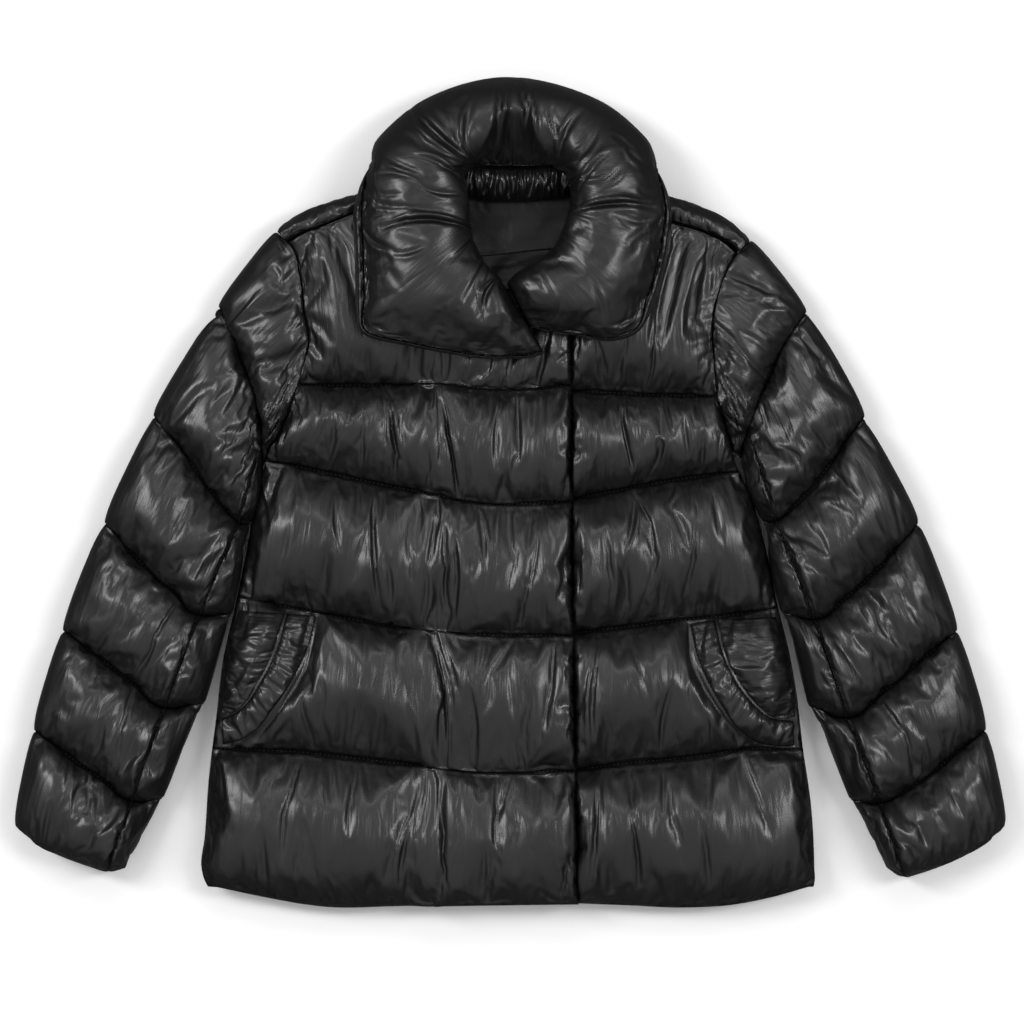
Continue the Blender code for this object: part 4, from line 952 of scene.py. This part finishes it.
def collar_stations(count):
    """Rows of the two tables at even steps round the collar, and its length."""
    rows = np.array(list(COLLAR_RIGHT) + list(reversed(COLLAR_LEFT)), dtype=float)
    table = np.column_stack([np.arange(len(rows)), rows])
    rough = curve(table, np.linspace(0, len(rows) - 1, 400))
    step = 0.5 * np.linalg.norm(np.diff(rough[:, 2:4], axis=0), axis=1)
    step += 0.5 * np.linalg.norm(np.diff(rough[:, 0:2], axis=0), axis=1)
    run = running(step)
    return curve(np.column_stack([run, rough]), np.linspace(0.0, run[-1], count)), run[-1]


def collar_top_pad():
    """Sections round the collar; each runs from the neck seam over the roll to the edge seam."""
    stations, length = collar_stations(280)
    places = np.linspace(0, len(UPPER_FACE) - 1, 92)
    outer = np.array([collar_section(station, UPPER_FACE, places) for station in stations])
    inner = np.array([collar_section(station, UPPER_INSIDE, np.arange(5)) for station in stations])
    on_floor = stations[:, 4:5]
    across = np.sin(np.pi * np.clip(places / 11.0, 0, 1)) ** 0.7
    run = np.linspace(0.0, length, len(stations))[:, None]
    from_end = np.minimum(run, length - run)
    x, y, z = outer[..., 0], outer[..., 1], outer[..., 2]
    from_neck = cloth_run(outer, 1)
    # A pleat sinks the middle of the back: wide at the neck, closing towards the outer edge.
    pleat_width = PLEAT_HALF_WIDTH * (1 - (y - PLEAT_FOOT[0]) / PLEAT_LENGTH).clip(0.02, 1.0)
    pleat = ease(1.5 * (1 - np.abs(x - PLEAT_MIDDLE) / pleat_width)) * (y > PLEAT_FOOT[0])
    sunk = np.minimum(z, PLEAT_FOOT[1] + (y - PLEAT_FOOT[0]) * PLEAT_SLOPE)
    z += (sunk - z) * pleat * (places > NECK_SEAM) * (places < PLEAT_END)
    lowered = COLLAR_LOWER * across + fold_depth(COLLAR_FOLDS, x, y) * across
    lowered -= COLLAR_WAVE * ripples(z.shape, (19, 31), 62) * across
    from_seam = np.abs(from_neck - from_neck[places.searchsorted(NECK_SEAM)])
    lowered -= gathers(run, from_seam, 61, 16.0, NECK_GATHER)
    from_edge = np.clip(from_neck[places.searchsorted(EDGE_SEAM)] - from_neck, 0.0, None)
    lowered -= gathers(run, from_edge, 63, 11.0, EDGE_GATHER) * (on_floor < 0.3)
    z -= lowered * (np.arange(len(places)) > 0) * (places < EDGE_SEAM)
    swell = END_SWELL + (1 - END_SWELL) * rounded(from_end, END_ROUNDING)
    at_end = (z > END_FOOT) & (on_floor < 0.05)
    outer[..., 2] = np.where(at_end, END_FOOT + (z - END_FOOT) * swell, z)
    outer[..., 2] = np.maximum(outer[..., 2], 0.0)
    held = sewn_round(z.shape)
    held[outer[..., 2] < 0.5] = True
    return outer, inner, held


def collar_under_pad():
    """Sections of the under side; each runs from the edge seam, round the rim, to the neck."""
    stations, length = collar_stations(260)
    places = np.linspace(0, 7, 30)
    outer = np.array([collar_section(s, LOWER_OUTSIDE, places) for s in stations])
    run = np.linspace(0.0, length, len(stations))[:, None]
    # The rim's strip is three steps of the section wide, and puckers from both of its seams.
    puckers = gathers(run, places * RIM_STEP, 71, 7.0, RIM_GATHER)
    puckers += gathers(run, 3 * RIM_STEP - places * RIM_STEP, 72, 9.0, RIM_GATHER)
    outer[..., 2] += puckers * (places > 0.1) * (places < 2.9) * (outer[..., 2] > 25.0)
    inner = np.array([collar_section(s, LOWER_INSIDE, np.arange(5)) for s in stations])
    return outer, inner, np.ones(outer.shape[:2], bool)


collar_nylon = glossy_nylon("glossy nylon taffeta over a full filling", "#111112", 0.32, 0.4, 0.6), seam_shade_nylon
collar_shape = collar_top_pad()
collar = {"collar_top": make_pad("collar_upper", *collar_shape, collar_nylon, 0.035, 12.0, turned=True),
          "collar_under": make_pad("collar_lower", *collar_under_pad(), collar_nylon, turned=True)}
swelling += collar.values()
for node, pad in collar.items():
    finish_pad(pad, node)
settle(swelling)

# ----------------------------------------------------------------------------- pockets
# Curved padded bands of the same nylon, edge-stitched to the fronts, with a thinner padded
# corner between each band and the side seam.

BAND_LENGTH = 165.0
BAND_SWELL = 7.0
BAND_LIFT = 0.8
CORNER_SWELL = 2.5
CORNER_LIFT = 1.2
CORNER_INSET = 5.0
SEWN_HEIGHT = 0.4
POCKET_GATHERS = (7.0, 0.8)
POCKET_POINT = 2.2


def surface_height(pad):
    """Gives the height of a pad's upper side at each place."""
    tree = BVHTree.FromObject(pad, bpy.context.evaluated_depsgraph_get())

    def height(x, y):
        hit = tree.ray_cast(Vector((x * MM, y * MM, 1.0)), Vector((0, 0, -1)))[0]
        return SIDE_SEAM if hit is None else hit.z / MM

    return np.vectorize(height)


def laid_on(front, starts, stops, swell, lift):
    """A padded strip laid on a front: its edges are sewn down and it swells between them."""
    count = int(np.linalg.norm(stops - starts, axis=1).mean() / POCKET_POINT) + 2
    share = np.linspace(0.0, 1.0, count)
    plan = starts[:, None] + (stops - starts)[:, None] * share[:, None]
    ground = surface_height(front)(plan[..., 0], plan[..., 1])
    near = [np.roll(ground, step, axis) for axis in (0, 1) for step in (-1, 0, 1)]
    ground = 0.5 * (ground + np.mean(near, axis=0))
    run = cloth_run(np.dstack([plan, ground]), 0)[:, None]
    width = np.linalg.norm(stops - starts, axis=1)[:, None]
    puckers = gathers(run, width * share, 41, *POCKET_GATHERS)
    puckers += gathers(run, width * (1 - share), 42, *POCKET_GATHERS)
    rise = lift + swell * SLACK * puff(share) + puckers
    outer = np.dstack([plan, ground + np.where((share == 0) | (share == 1), SEWN_HEIGHT, rise)])
    inner = outer[:, [-1, count // 2, 0]].copy()
    inner[..., 2] = ground[:, [-1, count // 2, 0]] - 1.0
    return outer, inner, sewn_round(ground.shape)


pocket_pads = {}
pocket_edges = {}
for side, (inward, sideward) in POCKETS.items():
    count = int(BAND_LENGTH / POCKET_POINT)
    inward, sideward = along_curve(inward, count), along_curve(sideward, count)
    strip = laid_on(fronts[side], inward, sideward, BAND_SWELL, BAND_LIFT)
    pocket_edges[side] = strip[0][:, 0], strip[0][:, -1]
    pocket_pads[f"pocket_band_{side}"] = make_pad(f"pocket_strip_{side}", *strip, nylon, 0.04, 5.0, True)
    # The corner stops short of the band's lower end, where the two curves meet the side seam.
    inset = OUTWARD[side] * CORNER_INSET
    starts = sideward[:-5] + (OUTWARD[side] * 1.2, 0.4)
    seam_x = curve(SIDES[side], sideward[:, 1])
    stops = np.column_stack([seam_x - inset, sideward[:, 1] + 3.0])[:-5]
    corner = laid_on(fronts[side], starts, stops, CORNER_SWELL, CORNER_LIFT)
    pocket_pads[f"pocket_back_{side}"] = make_pad(f"pocket_corner_{side}", *corner, nylon, 0.04, 4.0, True)
settle(pocket_pads.values())
for node, pad in pocket_pads.items():
    finish_pad(pad, node)

# -------------------------------------------------------------------------------- neck
# Inside the collar a casing of satin taffeta, drawn up into gathers, closes the back of the
# neck.  Below it the lining is cut in two smooth pieces, whose edges go under the collar.

CLOTH_WALL = 1.2
BAND_ENDS = (-47.0, 56.0)
BAND_BOW = 6.0
BAND_GATHERS = (7.0, 1.6)
# The casing's section.  Columns: y, z.
BAND_SECTION = ((285.0, 35.0), (284.5, 41.0), (287.5, 48.0), (294.0, 54.5), (302.0, 58.0), (309.5, 57.5),
                (315.0, 51.0), (317.0, 40.0), (316.0, 31.0))
# Sides of the two pieces of lining, lowest first.  Columns: y, x at the right side, x at the left.
FACING_SIDES = ((229.0, -50, 56), (245.0, -50, 60), (262.0, -49, 62), (284.0, -47, 62), (298.0, -46, 58))
LINING_SIDES = ((198.0, -14, 10), (205.0, -30, 24), (220.0, -38, 40), (237.0, -45, 50))
# Folds drawn up in the casing.  Columns: x and y of both ends, half width, depth, bow.
BAND_FOLDS = (
    (-44, 287, -36, 315, 2.6, 4.5, 2), (-36, 283, -33, 306, 2.2, 3, -1), (-29, 286, -20, 316, 2.8, 5, 3),
    (-24, 281, -26, 302, 2.2, 3, 1), (-14, 283, -10, 314, 2.6, 4.5, -2), (-7, 281, 2, 309, 2.8, 5, 3),
    (0, 288, -6, 316, 2.2, 3, 1), (8, 281, 10, 313, 2.6, 4.5, -2), (15, 284, 22, 316, 2.8, 5, 3),
    (14, 294, 8, 317, 2.2, 3, -1), (28, 282, 26, 309, 2.4, 4, 1), (32, 287, 41, 316, 2.8, 4.5, 2),
    (42, 284, 40, 309, 2.4, 4, -1), (48, 289, 54, 314, 2.4, 3.5, 1),
)
# Soft creases in the lining.  Columns as above.
LINING_FOLDS = (
    (-1, 240, -4, 284, 1.8, 0.5, 1), (-20, 222, 16, 228, 2.6, 0.7, 3), (-28, 290, -20, 270, 2.0, 0.8, 2),
    (10, 290, 15, 274, 2.0, 0.7, -2), (26, 290, 34, 272, 2.0, 0.8, 2), (-6, 232, -14, 246, 2.0, 0.6, 2),
)
LINING_HEIGHT = 32.6
LINING_TOP = 298.0
LINING_FOOT = 198.0
LINING_BOW = 0.004
# Towards the closing the lining rises to the fronts.
LINING_TURN = 246.0
LINING_RISE = 17.0
SEAM_HALF_GAP = 0.2
LINING_SEAM = ((-50, 230.3), (-25, 230.8), (3, 233.6), (30, 236.4), (62, 238.5))


def satin_taffeta(name, colour, roughness, gloss):
    """Satin taffeta for linings: long floats of filament yarn, which shine across the weave."""
    material, tree, shader = new_material(name, {
        "Base Color": linear(colour), "IOR": 1.5, "Specular IOR Level": gloss})
    place = add_node(tree, "ShaderNodeTexCoord", {}).outputs["Object"]
    # Ribs of the weave, drawn 1.4 mm apart so that they show, under slack swells 20 mm apart.
    ribs = add_node(tree, "ShaderNodeTexWave", {"bands_direction": "Y", "Scale": 0.314 / (1.4 * MM),
                                                "Distortion": 1.5, "Detail": 2.0}, {"Vector": place})
    slack = add_node(tree, "ShaderNodeTexNoise", {"Scale": 1 / (20 * MM), "Detail": 2.0}, {"Vector": place})
    spread = add_node(tree, "ShaderNodeMapRange",
                      {"From Min": 0.3, "From Max": 0.7, "To Min": roughness - 0.05,
                       "To Max": roughness + 0.07}, {"Value": slack.outputs["Fac"]})
    tree.links.new(spread.outputs["Result"], shader.inputs["Roughness"])
    fine = add_node(tree, "ShaderNodeBump", {"Strength": 0.2, "Distance": 0.08 * MM},
                    {"Height": ribs.outputs["Fac"]})
    broad = add_node(tree, "ShaderNodeBump", {"Strength": 0.8, "Distance": 1.2 * MM},
                     {"Height": slack.outputs["Fac"], "Normal": fine.outputs["Normal"]})
    tree.links.new(broad.outputs["Normal"], shader.inputs["Normal"])
    return material


def thin_cloth(name, points, material):
    """A single layer of cloth through a grid of points, turned upwards."""
    rows, cols = points.shape[:2]
    shape = bmesh.new()
    grid = bmesh.ops.create_grid(shape, x_segments=cols - 1, y_segments=rows - 1, size=0.5)
    for vert, place in zip(grid["verts"], points.reshape(-1, 3) * MM):
        vert.co = place
    shape.normal_update()
    if sum(face.normal.z for face in shape.faces) < 0:
        bmesh.ops.reverse_faces(shape, faces=shape.faces)
    cloth = new_piece(name, shape, material)
    wall = cloth.modifiers.new("wall", "SOLIDIFY")
    wall.thickness = CLOTH_WALL * MM
    wall.offset = -1.0
    subdivide(cloth)
    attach(cloth, "root")
    return cloth


def band_points():
    """The casing: sections across it, bowed to the back and drawn up into its folds."""
    x = np.linspace(*BAND_ENDS, 150)[:, None]
    y, z = section_points(BAND_SECTION, 40)[1]
    middle = (x - sum(BAND_ENDS) / 2) / (BAND_ENDS[1] - BAND_ENDS[0]) * 2
    y = y - BAND_BOW * (1 - middle ** 2) + 3.0
    run = cloth_run(np.dstack([0 * y, y, z + 0 * y]), 1)
    folds = gathers(x, run[None], 81, *BAND_GATHERS) + gathers(x, run[-1] - run[None], 82, *BAND_GATHERS)
    folds += 0.7 * ripples(y.shape, (6, 13), 83) - fold_depth(BAND_FOLDS, x, y)
    return np.dstack([x + 0 * y, y, z + folds + 1.5 * (1 - middle ** 2)])


def lining_points(sides, low, high, seed):
    """A smooth piece between its two sides and two edges, with slack swells and soft creases."""
    share, up = np.linspace(0.0, 1.0, 48), np.linspace(0.0, 1.0, 36)[:, None]
    ends = curve(sides, sides[0][0] + (sides[-1][0] - sides[0][0]) * up[:, 0])
    x = ends[:, :1] + (ends[:, 1:] - ends[:, :1]) * share
    y = low(x) + (high(x) - low(x)) * up
    z = LINING_HEIGHT + 0.9 * ripples(x.shape, (17, 21), seed).clip(-2, 2)
    z -= fold_depth(LINING_FOLDS, x, y)
    z += LINING_RISE * ((LINING_TURN - y) / (LINING_TURN - LINING_FOOT)).clip(0.0, None) ** 1.5
    return np.dstack([x, y, z])


def above_seam(x):
    return curve(LINING_SEAM, x) + SEAM_HALF_GAP


def below_seam(x):
    return curve(LINING_SEAM, x) - SEAM_HALF_GAP


def facing_top(x):
    return LINING_TOP + 0 * x


def lining_foot(x):
    return LINING_FOOT + LINING_BOW * x ** 2


# The lining's satin is black; its colour is made darker and its shine weaker than the casing's, as painted
# shade for the deep well inside the collar.
satin = satin_taffeta("black satin lining taffeta darkened with painted shade", "#09090a", 0.42, 0.18)
pressed_satin = satin_taffeta("black pressed satin casing", "#0f0f10", 0.24, 0.5)
casing = thin_cloth("neck_casing", band_points(), pressed_satin)
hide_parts("neck_band")
facing_points = lining_points(FACING_SIDES, above_seam, facing_top, 84)
facing = thin_cloth("neck_facing_cloth", facing_points, satin)
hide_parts("neck_facing")
lower_points = lining_points(LINING_SIDES, lining_foot, below_seam, 85)
lining = thin_cloth("neck_lining_cloth", lower_points, satin)
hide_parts("neck_lining")

# ----------------------------------------------------------------------------- stitching
# The channels, the sleeves' long seams, the pocket bands and the collar's edge are lockstitched
# in matt black spun polyester: short stitches that sink into the cloth, six to the inch.

STITCH_LENGTH = 2.2
STITCH_PITCH = 4.2
THREAD_THICKNESS = 0.7
STITCH_LIFT = 0.2
SEAM_LIFT = 0.6
OFF_THE_FLOOR = 3.0


def thread_material(name, colour):
    """Spun polyester thread: a twisted, slightly hairy yarn with a dull sheen."""
    material, tree, shader = new_material(name, {
        "Base Color": linear(colour), "Roughness": 0.75, "Specular IOR Level": 0.3})
    place = add_node(tree, "ShaderNodeTexCoord", {}).outputs["Object"]
    # The twist of the two plies, drawn 0.5 mm long.
    twist = add_node(tree, "ShaderNodeTexNoise", {"Scale": 1 / (0.5 * MM), "Detail": 1.0}, {"Vector": place})
    bump = add_node(tree, "ShaderNodeBump", {"Strength": 0.6, "Distance": 0.1 * MM},
                    {"Height": twist.outputs["Fac"]})
    tree.links.new(bump.outputs["Normal"], shader.inputs["Normal"])
    return material


def sew(name, lines):
    """Stitches laid end to end along lines of points, all in one mesh."""
    shape = bmesh.new()
    for line in lines:
        run = running(np.linalg.norm(np.diff(line, axis=0), axis=1))
        starts = np.arange(STITCH_PITCH / 2, run[-1] - STITCH_PITCH, STITCH_PITCH)
        ends = [np.column_stack([np.interp(at, run, line[:, i]) for i in range(3)])
                for at in (starts, starts + STITCH_LENGTH)]
        for low, high in zip(*ends):
            turn = Vector(high - low).to_track_quat("X", "Z").to_matrix().to_4x4()
            size = Matrix.Diagonal((STITCH_LENGTH / 2, THREAD_THICKNESS / 2, THREAD_THICKNESS / 2, 1))
            middle = Matrix.Translation((low + high) / 2 + (0, 0, STITCH_LIFT))
            place = Matrix.Scale(MM, 4) @ middle @ turn @ size
            bmesh.ops.create_icosphere(shape, subdivisions=1, radius=1.0, matrix=place)
    stitches = new_piece(name, shape, thread)
    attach(stitches, "root")


def stitched_rows(shape):
    """The stitch lines across a pad, without its two ends."""
    outer, _, held = shape
    rows = [i for i in range(1, len(outer) - 1) if held[i].all()]
    return [outer[i] for i in rows]


# The thread is black; its base colour is lightened to grey as a painted sheen, so that the stitches show as
# light dots in their grooves.
thread = thread_material("black spun polyester thread lightened with painted sheen", "#242426")
sew("stitches_back", stitched_rows(back_shape))
for side, shape in front_shapes.items():
    sew(f"stitches_front_{side}", stitched_rows(shape))
for side in SIDES:
    top, under = sleeve_shapes["top", side], sleeve_shapes["under", side]
    long_seam = top[0][:, 0] + (0, 0, SEAM_LIFT)
    sew(f"stitches_sleeve_{side}", [*stitched_rows(top), *stitched_rows(under), long_seam])
    sew(f"stitches_pocket_{side}", pocket_edges[side])
rim = collar_shape[0][:, -1]
seen = np.flatnonzero(rim[:, 2] > OFF_THE_FLOOR)
sew("stitches_collar", np.split(rim[seen], np.flatnonzero(np.diff(seen) > 1) + 1))

# ------------------------------------------------------------ floor, light and camera
# A seamless floor of pale studio paper, lit by three softboxes and a white dome.  The camera
# stands straight above the jacket.

PICTURE_WIDTH = 1024 * 0.96 * MM
FLOOR_HALF_WIDTH = 6.0
FLOOR_DROP = 0.0005
PICTURE_CENTRE = (0.0019, -0.0163)
CAMERA_HEIGHT = 3.6
MIDDLE_HEIGHT = 0.05

# Uncoated paper, matt all over.
paper = new_material("pale studio paper", {"Base Color": linear("#f7f7f7"), "Roughness": 0.9})[0]
floor_shape = bmesh.new()
bmesh.ops.create_grid(floor_shape, x_segments=1, y_segments=1, size=FLOOR_HALF_WIDTH)
bmesh.ops.translate(floor_shape, verts=floor_shape.verts, vec=(0.0, 0.0, -FLOOR_DROP))
floor = new_piece("floor", floor_shape, paper)
floor.visible_glossy = False


def soft_light(name, place, width, height, power):
    """A rectangular softbox aimed at the jacket."""
    lamp = bpy.data.lights.new(name, "AREA")
    lamp.shape = "RECTANGLE"
    lamp.size = width
    lamp.size_y = height
    lamp.energy = power
    light = bpy.data.objects.new(name, lamp)
    light.location = place
    aim = Vector((*PICTURE_CENTRE, MIDDLE_HEIGHT)) - Vector(place)
    light.rotation_euler = aim.to_track_quat("-Z", "Y").to_euler()
    bpy.context.scene.collection.objects.link(light)


soft_light("key_from_left", (-2.0, 0.9, 3.0), 0.7, 1.6, 52.0)
soft_light("key_from_right", (1.9, 0.5, 3.1), 0.6, 1.4, 40.0)
soft_light("key_from_top", (0.2, 2.4, 3.2), 1.8, 0.6, 13.0)

# A white dome, brightest overhead and dark near the ground.
world = bpy.data.worlds.new("studio")
bpy.context.scene.world = world
world.use_nodes = True
sky = world.node_tree
way = add_node(sky, "ShaderNodeTexCoord", {}).outputs["Generated"]
upward = add_node(sky, "ShaderNodeSeparateXYZ", {}, {"Vector": way}).outputs["Z"]
dome = add_node(sky, "ShaderNodeMapRange",
                {"interpolation_type": "SMOOTHSTEP", "From Min": 0.05, "From Max": 0.95, "To Min": 0.1,
                 "To Max": 0.78}, {"Value": upward})
sky.nodes["Background"].inputs["Color"].default_value = (1.0, 1.0, 1.0, 1.0)
sky.links.new(dome.outputs["Result"], sky.nodes["Background"].inputs["Strength"])
bpy.context.scene.view_settings.view_transform = "Standard"

lens = bpy.data.cameras.new("overhead")
lens.sensor_width = 36.0
lens.lens = lens.sensor_width * (CAMERA_HEIGHT - MIDDLE_HEIGHT) / PICTURE_WIDTH
camera = bpy.data.objects.new("overhead", lens)
camera.location = (*PICTURE_CENTRE, CAMERA_HEIGHT)
bpy.context.scene.collection.objects.link(camera)
bpy.context.scene.camera = camera
